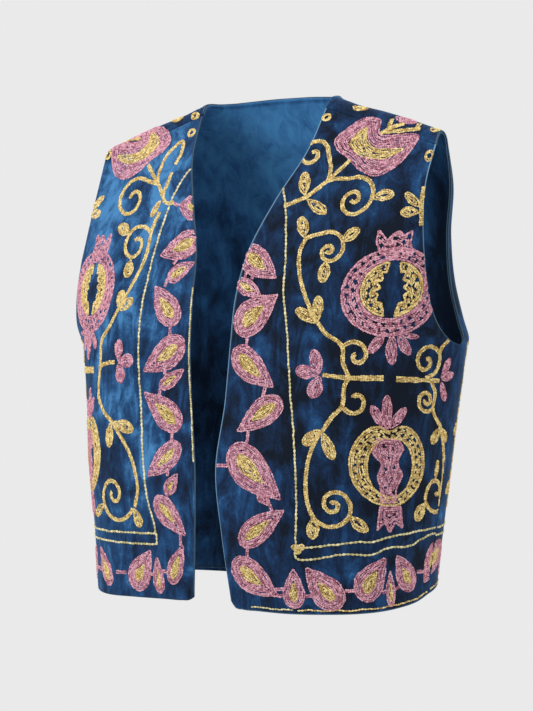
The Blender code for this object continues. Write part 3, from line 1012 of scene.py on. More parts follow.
def rows_inside(outline, spacing):
    """Paths that follow a closed outline, each a little further in than the last."""
    outline = evenly(closed(outline), OUTLINE_STEP)[:-1]
    ahead = np.roll(outline, -1, axis=0) - np.roll(outline, 1, axis=0)
    ahead /= np.maximum(np.linalg.norm(ahead, axis=1, keepdims=True), 1e-9)
    inward = np.stack((-ahead[:, 1], ahead[:, 0]), axis=-1)
    following = np.roll(outline, -1, axis=0)
    area = (outline[:, 0] * following[:, 1] - following[:, 0] * outline[:, 1]).sum()
    inward *= np.sign(area)
    turn = np.linspace(0, 2 * np.pi, len(outline), endpoint=False)
    for row in range(MOST_ROWS):
        depth = spacing * (0.5 + row)
        waver = np.sin(3 * turn + hand.uniform(0, 6)) + np.sin(7 * turn + hand.uniform(0, 6))
        waver *= ROW_WAVER * spacing
        moved = outline + inward * (depth + waver)[:, None]
        gaps = np.linalg.norm(moved[:, None] - outline[None], axis=2).min(axis=1)
        kept = moved[gaps > depth * 0.97 + waver.min()]
        if len(kept) < FEWEST_POINTS:
            return
        kept = closed(kept)
        breaks = np.flatnonzero(np.linalg.norm(np.diff(kept, axis=0), axis=1) > ROW_BREAK) + 1
        for path in np.split(kept, breaks):
            if len(path) > 3:
                yield row, path


def fill(ground, thread, outline, keep_out=(), spacing=FILL_SPACING):
    """Fill an outline with rows of chain stitch that follow it."""
    for _, path in rows_inside(outline, spacing):
        stitch(ground, thread, path, keep_out=keep_out)


def teardrop(root, tip, width, bend=0.0, fullness=0.38):
    """The outline of a leaf with a round root and a pointed tip."""
    root, tip = np.array(root, dtype=float), np.array(tip, dtype=float)
    share = np.linspace(0, 1, 30)
    rounded = np.sqrt(np.maximum(1 - (1 - np.minimum(share / fullness, 1)) ** 2, 0))
    tapered = 1 - (np.maximum(share - fullness, 0) / (1 - fullness)) ** TIP_TAPER
    half = np.where(share < fullness, rounded, tapered) * width / 2
    axis = tip - root
    aside = np.array((-axis[1], axis[0])) / np.linalg.norm(axis)
    line = root + axis * share[:, None] + aside * (bend * width * (share ** 2 - share))[:, None]
    return np.concatenate((line + aside * half[:, None], (line - aside * half[:, None])[-2:0:-1]))


def leaf(ground, row):
    """A pink leaf with a yellow heart."""
    root, tip = (row["root_x"], row["root_z"]), (row["tip_x"], row["tip_z"])
    outline = teardrop(root, tip, row["width"], row["bend"])
    pink_rows = max(2, int(round(HEART_SHARE * row["width"] / 2 / FILL_SPACING)))
    for number, path in rows_inside(outline, FILL_SPACING):
        stitch(ground, "pink" if number < pink_rows else "yellow", path)


def bud(ground, row):
    """A small yellow bud, narrow at its root, with a slit left open along its middle."""
    root, end = (row["root_x"], row["root_z"]), (row["end_x"], row["end_z"])
    outline = teardrop(end, root, row["width"] * 1.06, fullness=0.45)
    slit = [np.array(end) + (np.array(root) - np.array(end)) * share for share in BUD_SLIT]
    holes = holes_at(slit, 0.06 * row["width"] + 0.03)
    fill(ground, "yellow", outline, keep_out=holes, spacing=BUD_SPACING)


def petal(ground, row):
    """A filled pink petal, narrow at its root and round at its end."""
    root, end = (row["root_x"], row["root_z"]), (row["end_x"], row["end_z"])
    fill(ground, "pink", teardrop(end, root, row["width"], fullness=0.45))


def vine(ground, path, rows=3):
    """A yellow stem of rows laid side by side."""
    for row in range(rows):
        shift = (row - (rows - 1) / 2) * VINE_SPACING
        stitch(ground, "yellow", beside(path, shift), width=VINE_WIDTH, length=0.24)


def curl(row):
    """A spiral path from its outer end to its middle, with angles in degrees."""
    share = np.linspace(0, 1, 90)
    angle = np.radians(row["angle"] + row["turn"] * share)
    radius = row["inner"] + (row["outer"] - row["inner"]) * (1 - share) ** row["bend"]
    centre = np.array((row["across"], row["up"]))
    return centre + np.stack((np.cos(angle), np.sin(angle)), axis=-1) * radius[:, None]


def holes_between(outer, inner, shares, spacing, size):
    """Small ovals in staggered rows between two closed outlines, to be left open."""
    holes = []
    for number, share in enumerate(shares):
        path = evenly(closed(inner) + (closed(outer) - closed(inner)) * share, spacing)[:-1]
        path = path + (path - np.roll(path, 1, axis=0)) * 0.5 * (number % 2)
        holes.extend(holes_at(path, size))
    return holes


def holes_at(places, size):
    """A small uneven oval at each place."""
    angle = np.linspace(0, 2 * np.pi, 16, endpoint=False)
    ovals = []
    for place in places:
        across, up = size * hand.uniform(0.75, 1.25, 2)
        ovals.append(np.array(place) + np.stack((np.cos(angle) * across, np.sin(angle) * up), axis=-1))
    return ovals


def joined(*paths):
    """One smooth path through others laid end to end."""
    path = evenly(np.concatenate([np.asarray(part, dtype=float) for part in paths]), 0.15)
    for _ in range(SMOOTHING_ROUNDS):
        path[1:-1] = (path[:-2] + 2 * path[1:-1] + path[2:]) / 4
    return path


def ring_arc(centre, across, up, start_angle, end_angle):
    """Part of an oval, with angles in degrees."""
    angle = np.radians(np.linspace(start_angle, end_angle, 80))
    return np.array(centre) + np.stack((np.cos(angle) * across, np.sin(angle) * up), axis=-1)


# The places and outlines of the motifs below were read from the photograph, point by point.

# Border leaves, from the neck down and then along the hem
LEFT_LEAVES = named("root_x root_z tip_x tip_z width bend", [
    (2.5, -15.9, 7.0, -19.0, 2.9, 0.1),
    (2.5, -19.1, 5.7, -20.8, 1.7, 0.1),
    (3.1, -24.4, 7.5, -20.5, 3.6, -0.2),
    (2.9, -25.9, 7.7, -29.8, 3.1, 0.2),
    (8.6, -30.9, 3.5, -34.2, 2.9, 0.1),
    (2.8, -35.6, 8.6, -40.8, 4.1, 0.1),
    (3.7, -45.3, 9.0, -41.7, 2.8, -0.1),
    (2.7, -47.0, 8.0, -50.3, 3.4, 0.1),
    (9.5, -51.5, 9.6, -47.4, 2.3, 0.0),
    (14.2, -51.3, 10.8, -47.3, 3.2, -0.1),
    (16.1, -50.6, 18.9, -46.3, 3.0, -0.2),
    (19.3, -51.3, 19.3, -47.6, 1.2, 0.0),
    (22.4, -49.8, 20.1, -46.1, 2.8, -0.1),
    (27.2, -45.4, 24.3, -49.3, 3.1, 0.0),
])
RIGHT_LEAVES = named("root_x root_z tip_x tip_z width bend", [
    (3.6, -11.4, 6.9, -11.2, 3.0, 0.0),
    (2.9, -14.6, 8.0, -16.4, 3.0, 0.1),
    (6.3, -18.9, 3.0, -17.1, 1.9, 0.0),
    (4.1, -23.4, 7.9, -19.4, 3.0, 0.1),
    (3.1, -25.0, 8.3, -28.3, 3.3, 0.1),
    (6.0, -29.9, 2.8, -27.9, 1.6, 0.0),
    (3.1, -34.0, 8.1, -30.3, 3.0, -0.1),
    (3.0, -35.4, 7.3, -38.9, 2.7, 0.1),
    (4.8, -40.6, 3.2, -38.4, 1.6, 0.0),
    (6.4, -40.9, 2.5, -44.8, 2.7, 0.1),
    (4.8, -49.7, 2.9, -45.5, 2.0, 0.1),
    (6.3, -50.8, 6.6, -46.8, 1.6, 0.0),
    (10.5, -50.4, 7.4, -46.3, 3.3, -0.1),
    (13.9, -50.4, 15.9, -46.3, 2.0, 0.1),
    (19.9, -49.9, 17.4, -46.4, 2.8, -0.1),
    (22.4, -49.8, 22.7, -46.4, 1.5, 0.0),
    (25.8, -48.9, 24.3, -45.9, 2.2, -0.1),
])
LEFT_LINKS = (
    ((3.4, -18.3), (3.4, -19.1)), ((4.2, -18.4), (4.2, -19.0)), ((5.6, -20.6), (5.9, -21.3)),
    ((4.4, -24.9), (4.4, -25.9)), ((6.7, -29.7), (6.4, -30.7)), ((4.9, -34.1), (4.7, -35.4)),
    ((1.3, -37.5), (2.6, -37.5)), ((7.1, -40.7), (7.6, -41.9)), ((4.7, -45.1), (4.5, -46.9)),
    ((7.6, -49.6), (8.7, -49.5)), ((7.7, -50.2), (8.6, -50.2)), ((10.7, -50.2), (11.6, -50.1)),
    ((14.6, -49.6), (15.7, -49.6)), ((18.3, -49.8), (19.0, -49.7)), ((19.5, -49.8), (20.4, -49.3)),
    ((23.1, -48.0), (24.3, -48.1)),
)
RIGHT_LINKS = (
    ((6.9, -11.2), (7.7, -10.9)), ((5.4, -16.6), (5.8, -17.3)), ((6.2, -18.8), (6.4, -19.6)),
    ((5.0, -23.5), (5.0, -24.9)), ((5.3, -27.9), (5.4, -28.5)), ((5.9, -29.9), (6.0, -30.6)),
    ((4.1, -34.2), (4.1, -35.3)), ((4.5, -38.0), (4.5, -38.7)), ((4.7, -40.4), (4.6, -41.1)),
    ((3.2, -44.4), (3.2, -45.7)), ((5.2, -48.4), (5.8, -48.4)), ((7.0, -48.8), (7.6, -48.8)),
    ((11.3, -48.9), (12.9, -48.9)), ((15.8, -48.8), (17.4, -48.7)), ((20.6, -48.4), (21.8, -48.5)),
    ((23.1, -48.4), (24.0, -48.2)),
)

# Cream lines that frame each front, and the gold edging
LEFT_FRAME = (
    (5.4, -9.4), (6.3, -11.6), (7.1, -14.7), (7.6, -17.3), (7.9, -20.1), (8.7, -23.6), (9.1, -26.8),
    (9.5, -31.1), (9.9, -34.5), (10.1, -38.5), (10.1, -41.5), (9.9, -45.4),
)
LEFT_FRAME_FOOT = (
    ((9.9, -45.4), (10.8, -45.4), (13.6, -45.1), (16.0, -44.8), (17.6, -44.8), (19.1, -44.4),
     (21.8, -44.1), (27.4, -43.6)),
    ((9.9, -45.4), (9.8, -46.1)),
    ((9.8, -46.1), (10.1, -46.6), (10.8, -46.6), (13.1, -46.3), (14.7, -46.0), (17.6, -46.0),
     (18.8, -45.5), (21.3, -45.4), (22.3, -45.3), (23.3, -44.9), (25.2, -44.4), (27.4, -44.2)),
)
RIGHT_FRAME = (
    (6.4, -7.0), (7.2, -8.0), (7.9, -9.9), (8.4, -12.8), (8.8, -15.6), (9.0, -18.0), (9.1, -21.0),
    (9.1, -24.9), (8.9, -27.6), (8.6, -30.2), (8.0, -34.6), (7.7, -38.1), (7.4, -41.3), (6.8, -43.2),
    (6.4, -44.9),
)
RIGHT_FRAME_FOOT = (
    ((6.5, -44.6), (9.9, -44.7), (14.5, -44.7), (19.8, -44.5), (27.2, -44.2)),
    ((6.4, -44.9), (6.4, -45.7)),
    ((6.4, -45.7), (11.1, -45.8), (17.0, -45.6), (22.0, -45.3), (27.2, -45.0)),
)
CORNER_KNOTS = ((9.85, -45.4), (10.5, -45.35), (10.1, -45.75))
NOTCH_LOBE = {"root_x": 7.3, "root_z": -41.4, "end_x": 6.1, "end_z": -39.9, "width": 1.3}
RIGHT_FRONT_EDGING = (
    (2.70, -19.0), (2.62, -22.0), (2.52, -25.4), (2.20, -30.0), (1.70, -34.0), (1.32, -37.2),
)
EDGING_RISE = 0.10
HEM_EDGINGS = (
    ("front_left", "cream", 4.6, 9.6, 0.03),
    ("front_left", "yellow", 9.8, 27.0, 0.04),
    ("back", "yellow", 14.0, 24.0, 0.04),
)

# Stems, curls, buds and petals beside the side seam, in the places of the wearer's left
SIDE_STEMS = (
    ((23.4, -28.8), (24.6, -28.3), (25.1, -27.2), (25.0, -26.2), (25.6, -25.4), (26.6, -24.7)),
    ((24.2, -29.2), (24.8, -30.2), (24.6, -31.8), (26.0, -33.7)),
    ((24.0, -41.0), (25.0, -41.9), (26.0, -42.2), (27.0, -41.9)),
    ((26.0, -33.7), (26.9, -36.0), (27.1, -38.6), (26.7, -41.6)),
    ((20.0, -28.9), (22.6, -29.0)),
    ((22.6, -29.0), (25.3, -29.1)),
)
SIDE_ROWS = (3, 3, 3, 3, 4, 3)
SIDE_CURLS = named("across up angle turn outer inner bend", [
    (23.4, -27.2, 31, 439, 1.70, 0.25, 1.3),
    (23.6, -31.0, -41, -508, 1.19, 0.18, 1.0),
    (26.0, -40.1, -158, -360, 2.05, 0.25, 2.2),
])
SIDE_BUDS = named("root_x root_z end_x end_z width", [
    (26.1, -33.7, 24.6, -35.3, 1.1),
    (26.1, -33.7, 27.3, -35.2, 0.9),
    (24.1, -41.1, 22.7, -42.9, 1.3),
    (25.6, -39.0, 25.9, -36.9, 0.65),
])
SIDE_PETALS = named("root_x root_z end_x end_z width", [
    (25.5, -29.0, 26.6, -26.8, 0.9),
    (25.5, -29.0, 27.4, -28.4, 1.0),
    (25.5, -29.0, 26.4, -31.2, 0.9),
])
ARMHOLE_STEM = ((20.1, -10.0), (20.3, -11.9), (20.5, -12.9), (20.7, -13.9))
ARMHOLE_BUDS = named("root_x root_z end_x end_z width", [
    (20.3, -12.2, 18.5, -10.6, 0.85),
    (20.3, -12.6, 18.4, -12.5, 1.05),
])

# The wearer's left front: its vines, buds and the three petals on its bar
LEFT_STEMS = (
    ((10.2, -9.2), (11.1, -8.0), (11.9, -7.1)),
    ((10.2, -9.2), (9.2, -10.1), (8.2, -10.9), (7.1, -11.3), (6.2, -11.7)),
    ((9.3, -15.1), (9.0, -16.2), (9.2, -17.9), (10.1, -20.3), (11.9, -23.4)),
    ((12.0, -23.4), (12.7, -24.3), (14.6, -25.8), (14.7, -27.3), (15.4, -28.8)),
    ((15.4, -28.8), (15.0, -29.3), (14.8, -30.3), (14.7, -31.5), (13.8, -32.5), (12.8, -33.9)),
    ((12.6, -34.0), (11.7, -35.8), (11.2, -38.0), (11.1, -40.0), (11.6, -42.1), (11.9, -42.6)),
    ((12.7, -28.5), (15.5, -28.8), (16.4, -28.8)),
    ((16.4, -28.8), (18.7, -28.8)),
)
LEFT_ROWS = (3, 3, 3, 3, 3, 3, 3, 4)
LEFT_CURLS = named("across up angle turn outer inner bend", [
    (7.75, -6.4, 8, 468, 1.62, 0.22, 0.85),
    (13.5, -11.2, 118, -640, 2.45, 0.28, 1.5),
    (12.1, -16.3, 131, -657, 2.11, 0.32, 2.2),
    (16.0, -26.7, 146, -400, 1.70, 0.25, 1.7),
    (15.9, -31.1, -150, 260, 1.22, 0.45, 0.6),
    (13.8, -41.2, -143, 649, 2.38, 0.28, 1.7),
])
LEFT_LEADS = (
    ((10.2, -9.2), (10.2, -8.1), (9.8, -7.1)),
    ((10.2, -9.2), (11.1, -8.95)),
    ((9.3, -15.1), (10.0, -14.7)),
)
LEFT_BUDS = named("root_x root_z end_x end_z width", [
    (8.2, -10.8, 7.4, -8.2, 1.2),
    (8.4, -11.0, 11.0, -12.6, 1.05),
    (15.3, -11.1, 17.5, -10.7, 1.15),
    (9.3, -15.1, 8.3, -12.8, 1.2),
    (13.2, -15.5, 14.8, -14.1, 1.15),
    (11.95, -17.2, 11.9, -19.5, 1.25),
    (12.0, -23.5, 9.5, -22.0, 1.05),
    (12.0, -23.5, 11.7, -20.7, 1.1),
    (12.8, -33.8, 10.8, -35.3, 1.25),
    (12.7, -33.9, 13.9, -36.8, 1.15),
    (11.8, -42.3, 11.6, -44.6, 1.25),
    (15.2, -42.2, 17.1, -43.8, 1.15),
    (9.7, -1.1, 11.4, -1.5, 0.9),
    (19.1, -3.9, 20.2, -4.2, 0.8),
])
LEFT_PETALS = named("root_x root_z end_x end_z width", [
    (12.5, -28.5, 11.7, -26.0, 1.3),
    (12.5, -28.5, 9.9, -28.0, 1.4),
    (12.5, -28.5, 11.6, -30.8, 1.6),
    (14.6, -2.4, 17.4, -3.3, 1.0),
])

# The wearer's right front: the same, in its own places
RIGHT_STEMS = (
    ((10.3, -9.2), (11.0, -8.5), (11.2, -7.1), (11.0, -6.0), (10.2, -4.8), (9.2, -4.2), (8.8, -5.3),
     (9.1, -6.7)),
    ((10.3, -9.2), (9.4, -10.2), (8.8, -10.8), (8.1, -10.9), (7.7, -10.8)),
    ((9.2, -7.6), (9.3, -8.9), (9.5, -10.0)),
    ((11.0, -8.6), (11.9, -7.8), (13.3, -6.5)),
    ((9.3, -11.8), (9.8, -13.9), (9.8, -15.5), (10.1, -17.1), (10.9, -19.0), (11.7, -20.5),
     (12.7, -21.9), (14.1, -23.8), (15.2, -24.9), (15.3, -27.5), (15.3, -31.0), (14.1, -32.5),
     (12.8, -33.3)),
    ((12.8, -33.3), (11.5, -34.6), (10.0, -36.3), (9.1, -38.3), (8.8, -40.2), (9.4, -42.0)),
    ((12.6, -27.3), (14.0, -27.4), (15.6, -27.8)),
    ((16.6, -28.1), (20.1, -28.1)),
)
RIGHT_ROWS = (3, 3, 3, 3, 3, 3, 3, 5)
RIGHT_CURLS = named("across up angle turn outer inner bend", [
    (14.1, -10.2, 124, -470, 2.40, 0.45, 0.9),
    (11.9, -15.1, 100, -400, 1.95, 0.50, 0.9),
    (12.6, -40.9, 205, 560, 3.10, 0.45, 1.8),
])
RIGHT_LEADS = (((11.0, -8.6), (12.2, -8.4)), ((9.9, -13.9), (10.7, -13.4)))
RIGHT_BUDS = named("root_x root_z end_x end_z width", [
    (9.6, -10.4, 10.4, -12.4, 0.9),
    (13.2, -13.9, 15.2, -13.0, 1.3),
    (12.2, -16.6, 12.2, -18.6, 1.4),
    (8.9, -1.9, 8.0, -0.9, 0.9),
    (12.4, -22.0, 12.5, -19.8, 1.3),
    (12.4, -22.0, 10.5, -20.8, 1.15),
    (12.9, -33.4, 13.2, -36.1, 1.3),
    (12.4, -33.4, 9.3, -34.2, 1.3),
    (9.6, -42.1, 8.7, -44.1, 1.25),
    (14.5, -41.9, 16.6, -43.3, 1.0),
    (9.7, -1.1, 11.4, -1.5, 0.9),
])
RIGHT_PETALS = named("root_x root_z end_x end_z width", [
    (11.9, -27.3, 12.1, -24.9, 1.3),
    (12.0, -27.2, 9.7, -27.1, 1.5),
    (11.9, -27.2, 11.4, -29.5, 1.5),
    (14.6, -2.4, 17.4, -3.3, 1.0),
])

# Small open rings, in yellow
LEFT_RINGS = named("across up wide tall", [
    (8.0, -2.5, 0.46, 0.36),
    (19.95, -6.9, 0.42, 0.54),
])
RIGHT_RINGS = named("across up wide tall", [
    (8.3, -3.3, 0.50, 0.42),
    (20.0, -5.0, 0.42, 0.50),
])

# The back: frame lines, hem leaves and the vines at its sides, mirrored about its centre
BACK_FRAME = (
    (3.0, 0.5), (3.1, -6.0), (3.2, -12.0), (3.6, -19.0), (4.2, -26.0), (4.5, -34.0), (4.4, -43.0),
)
BACK_FRAME_FOOT = (
    ((4.4, -43.0), (10.0, -43.0), (17.0, -43.4), (24.0, -44.0)),
    ((4.4, -43.0), (4.3, -43.9)),
    ((4.3, -43.9), (10.0, -43.9), (17.0, -44.3), (24.0, -44.8)),
)
BACK_HEM_LEAVES = named("root_x root_z tip_x tip_z width bend", [
    (5.1, -49.5, 5.5, -45.2, 2.2, 0.1),
    (10.2, -49.4, 7.5, -45.2, 3.1, -0.1),
    (12.5, -49.3, 14.7, -45.1, 2.9, -0.2),
    (16.5, -49.3, 16.6, -45.8, 1.5, 0.0),
    (19.9, -48.9, 18.2, -45.3, 2.4, -0.1),
])
BACK_HEM_LINKS = (
    ((1.2, -48.0), (4.2, -48.0)), ((6.2, -48.0), (8.0, -47.8)), ((10.9, -47.6), (11.6, -47.6)),
    ((14.2, -47.4), (15.8, -47.6)), ((17.2, -47.6), (18.5, -47.4)), ((20.4, -47.5), (22.4, -47.5)),
)
BACK_LINKS = (
    ((6.9, -11.2), (6.9, -12.6)), ((5.4, -16.6), (5.8, -17.3)), ((6.2, -18.8), (6.4, -19.6)),
    ((5.0, -23.5), (5.0, -24.9)), ((5.3, -27.9), (5.4, -28.5)), ((5.9, -29.9), (6.0, -30.6)),
    ((4.1, -34.2), (4.1, -35.3)), ((4.5, -38.0), (4.5, -38.7)), ((4.7, -40.4), (4.6, -41.1)),
    ((4.0, -43.6), (5.0, -45.6)),
)
BACK_CENTRE_LEAVES = 10
BACK_SINGLE_LEAVES = named("root_x root_z tip_x tip_z width bend", [
    (0.0, -49.6, 0.1, -45.2, 2.4, 0.0),
    (21.6, -45.4, 24.5, -49.3, 3.1, 0.0),
])
BACK_STEMS = (
    ((18.6, -19.0), (17.9, -15.5), (18.4, -12.0), (18.7, -9.2)),
    ((22.9, -25.8), (21.9, -28.8), (22.2, -32.4), (21.3, -35.8), (21.6, -39.0), (20.9, -42.0)),
)
BACK_CURLS = named("across up angle turn outer inner bend", [
    (16.6, -8.2, -20, 470, 2.10, 0.25, 1.2),
])
BACK_BUDS = named("root_x root_z end_x end_z width", [
    (18.2, -12.6, 16.8, -13.4, 1.0),
    (18.0, -16.0, 19.4, -17.4, 1.1),
    (18.7, -9.4, 20.1, -8.0, 1.0),
    (21.9, -29.0, 20.6, -30.6, 1.1),
    (22.0, -33.2, 23.3, -34.6, 1.1),
    (21.5, -37.4, 20.2, -38.8, 1.1),
    (21.6, -39.2, 22.9, -40.6, 1.1),
    (22.9, -26.0, 24.3, -24.8, 1.0),
    (15.6, -6.0, 14.4, -4.6, 1.1),
])

# The shoulder flower, from its middle
FLOWER_OUTLINE = named("across up", [
    (-4.4, 0.8), (-3.4, 2.1), (-1.4, 3.2), (-0.2, 2.9), (0.25, 1.3), (2.2, 1.25), (4.5, 1.0),
    (4.0, -0.6), (2.9, -2.3), (1.1, -3.1), (-0.6, -2.6), (-2.3, -1.2), (-3.8, -0.2),
])
FLOWER_CRESCENT = named("across up", [
    (-1.3, 2.1), (-2.2, 1.5), (-2.7, 0.5), (-1.9, -0.5), (0.0, -1.25), (1.8, -1.25), (3.3, -0.3),
    (1.6, -0.25), (0.2, -0.1), (-0.9, 0.8),
])
FLOWER_SPRIG = (
    ((0.3, 1.3), (1.0, 1.9), (0.8, 2.9)), ((1.0, 1.9), (2.3, 2.35)),
    ((0.5, 1.5), (2.3, 1.6), (4.2, 1.7)), ((3.9, 1.7), (3.7, 2.5)),
)
# The two pomegranates. A ring has its middle, half width, half height and the dent at its top.
FRUIT_MIDDLE = (18.9, -20.15)
PINK_OUTER = ((18.9, -20.4), 4.9, 4.3, 0.0)
PINK_INNER = (FRUIT_MIDDLE, 3.2, 2.9, 0.0)
PINK_HOLES = ((0.32, 0.68), 0.86, 0.19)
SEED_RIM = (3.0, 2.7)
YELLOW_OUTER = ((19.5, -37.2), 4.1, 4.1, 0.22)
YELLOW_INNER = ((19.6, -37.5), 2.45, 2.95, 0.06)
YELLOW_HOLES = ((0.34, 0.66), 0.74, 0.17)
NOTCH_WIDTH = 16
CROWN_HOLE = 0.19
SEED_HOLE = 0.17
FOOT_HOLE = 0.14
CROWN_POINTS = (
    (17.2, -16.6), (16.7, -15.4), (16.75, -14.2), (17.8, -15.4), (18.3, -14.6), (18.8, -14.4),
    (19.3, -14.9), (20.1, -14.3), (20.0, -15.4), (20.3, -16.6), (18.8, -17.1),
)
CROWN_HOLES = (
    (17.1, -15.1), (17.3, -15.9), (18.0, -16.1), (18.5, -15.2), (18.9, -15.8), (19.4, -15.5),
    (19.8, -15.0), (19.7, -16.1), (18.4, -16.7), (19.2, -16.7),
)
FRUIT_PETALS = named("root_x root_z end_x end_z width", [
    (18.8, -24.2, 17.2, -26.4, 1.1),
    (19.3, -24.2, 19.5, -27.6, 1.2),
    (19.7, -24.2, 21.4, -26.6, 1.1),
    (20.0, -24.6, 22.2, -24.8, 0.6),
    (19.1, -34.0, 17.5, -31.4, 1.0),
    (19.2, -34.0, 19.1, -30.4, 1.15),
    (19.3, -33.9, 21.2, -31.7, 1.05),
])
SEED_EDGE = named("angle reach", [
    (80, 2.9), (68, 1.7), (55, 2.05), (42, 1.25), (24, 1.75), (8, 1.05), (-8, 1.7), (-24, 1.35),
    (-42, 1.9), (-60, 1.55), (-80, 2.8),
])
SEED_HOLES = named("angle reach", [
    (62, 2.35), (40, 2.3), (40, 1.75), (20, 2.4), (12, 1.7), (-2, 2.25), (-20, 2.35), (-24, 1.8),
    (-42, 2.4), (-62, 2.25),
])
COLUMN_LEFT = ((18.1, -34.7), (17.8, -36.2), (18.6, -37.2), (18.2, -38.4), (18.5, -39.6), (18.4, -41.0))
COLUMN_RIGHT = ((20.4, -34.8), (20.9, -35.6), (20.3, -37.0), (20.8, -38.4), (20.2, -39.6), (20.2, -41.0))
COLUMN_HOLES = (
    (18.9, -35.5), (19.8, -35.7), (19.3, -36.5), (19.9, -37.5), (19.0, -37.7), (19.6, -38.6),
    (19.0, -39.4), (19.8, -40.0),
)
FOOT_OUTLINE = (
    (18.4, -41.3), (18.0, -43.7), (18.8, -42.9), (19.4, -44.0), (20.0, -42.9), (20.9, -43.6),
    (20.7, -41.3),
)
FOOT_HOLES = ((19.0, -42.2), (19.9, -42.2))


def shoulder_flower(ground, across, up):
    """A pink heart-shaped flower with a yellow crescent, and a yellow sprig at its notch."""
    middle_point = np.array((across, up))
    outline = eased(np.column_stack(list(FLOWER_OUTLINE.values())), loop=True) + middle_point
    crescent = eased(np.column_stack(list(FLOWER_CRESCENT.values())), loop=True) + middle_point
    fill(ground, "pink", outline, keep_out=(crescent,))
    fill(ground, "yellow", crescent)
    for path in FLOWER_SPRIG:
        vine(ground, np.array(path) + middle_point)


def fruit_outline(centre, across, up, notch):
    """A round fruit, dented at its top."""
    angle = np.radians(np.arange(0, 360, 4))
    away = np.degrees(angle) - 90
    radius = 1 - notch * np.exp(-(away / NOTCH_WIDTH) ** 2)
    oval = np.stack((np.cos(angle) * across, np.sin(angle) * up), axis=-1)
    return np.array(centre) + oval * radius[:, None]


def lace(ground, thread, outline, holes, keep_out=()):
    """A filled shape with small holes left open in it."""
    fill(ground, thread, outline, keep_out=(*holes, *keep_out))
    stitch(ground, thread, closed(outline), width=LINK_OUTLINE_WIDTH)


def pointed(outline):
    """A closed outline with sharp corners, with points at even steps."""
    return evenly(closed(np.array(outline)), 0.3)[:-1]


def around_fruit(side, table):
    """Places round the middle of the open fruit, on one side of it, by angle and reach."""
    angle = np.radians(table["angle"])
    places = np.stack((side * np.cos(angle) * table["reach"], np.sin(angle) * table["reach"]), axis=-1)
    return np.array(FRUIT_MIDDLE) + places


def pink_pomegranate(ground):
    """The pink one, open at its middle on two lobes of yellow seeds."""
    outer = fruit_outline(*PINK_OUTER)
    inner = fruit_outline(*PINK_INNER)
    holes = holes_between(outer, inner, *PINK_HOLES)
    lace(ground, "pink", outer, holes, keep_out=(inner,))
    stitch(ground, "pink", closed(inner))
    lace(ground, "pink", pointed(CROWN_POINTS), holes_at(CROWN_HOLES, CROWN_HOLE))
    for side in (-1, 1):
        rim = ring_arc(FRUIT_MIDDLE, side * SEED_RIM[0], SEED_RIM[1], -80, 80)
        lobe = np.concatenate((rim, around_fruit(side, SEED_EDGE)[1:-1]))
        lace(ground, "yellow", lobe, holes_at(around_fruit(side, SEED_HOLES), SEED_HOLE))


def yellow_pomegranate(ground):
    """The yellow one, with a pink column in its middle and a pink foot below."""
    outer = fruit_outline(*YELLOW_OUTER)
    inner = fruit_outline(*YELLOW_INNER)
    holes = holes_between(outer, inner, *YELLOW_HOLES)
    lace(ground, "yellow", outer, holes, keep_out=(inner,))
    stitch(ground, "yellow", closed(inner))
    column = np.concatenate((eased(COLUMN_LEFT), eased(COLUMN_RIGHT)[::-1]))
    lace(ground, "pink", column, holes_at(COLUMN_HOLES, SEED_HOLE))
    lace(ground, "pink", pointed(FOOT_OUTLINE), holes_at(FOOT_HOLES, FOOT_HOLE))


def branches(ground, stems, curls, buds, petals=None, leads=(), rows=()):
    """Stems, curls with the paths that lead into them, buds and petals."""
    for number, path in enumerate(stems):
        vine(ground, eased(path), rows=rows[number] if rows else 3)
    for number, row in enumerate(rows_of(curls)):
        vine(ground, joined(leads[number], curl(row)) if number < len(leads) else curl(row))
    for row in rows_of(buds):
        bud(ground, row)
    for row in rows_of(petals or {}):
        petal(ground, row)


def fruit(ground):
    """Both pomegranates, one above the other."""
    pink_pomegranate(ground)
    yellow_pomegranate(ground)
    for row in rows_of(FRUIT_PETALS):
        petal(ground, row)


def armhole_sprig(ground):
    vine(ground, eased(ARMHOLE_STEM))
    for row in rows_of(ARMHOLE_BUDS):
        bud(ground, row)


def rings(ground, table):
    for row in rows_of(table):
        for share in (1.0, 0.68):
            middle_point = (row["across"], row["up"])
            path = ring_arc(middle_point, row["wide"] * share, row["tall"] * share, 0, 360)
            stitch(ground, "yellow", path, length=0.2)


def border(ground, leaves, links):
    for row in rows_of(leaves):
        leaf(ground, row)
    for path in links:
        for shift in (-0.09, 0.09):
            stitch(ground, "pink", beside(np.array(path), shift), width=0.22)


def frame_lines(ground, side_line, foot):
    for path in (side_line, *foot):
        stitch(ground, "cream", eased(path), width=LINE_WIDTH, length=LINE_LENGTH)


def hem_edging(name, thread, start, end, sway):
    """A row along the hem of a panel, between two places across it."""
    low_row = grounds[name].place[1] * 100
    order = np.argsort(low_row[:, 0])
    across = np.arange(start, end, 0.25)
    up = np.interp(across, low_row[order, 0], low_row[order, 1]) + EDGING_RISE
    up += sway * np.sin(across * EDGING_WAVES)
    stitch(Ground(name), thread, np.column_stack((across, up)), width=EDGING_WIDTH, length=EDGING_LENGTH)


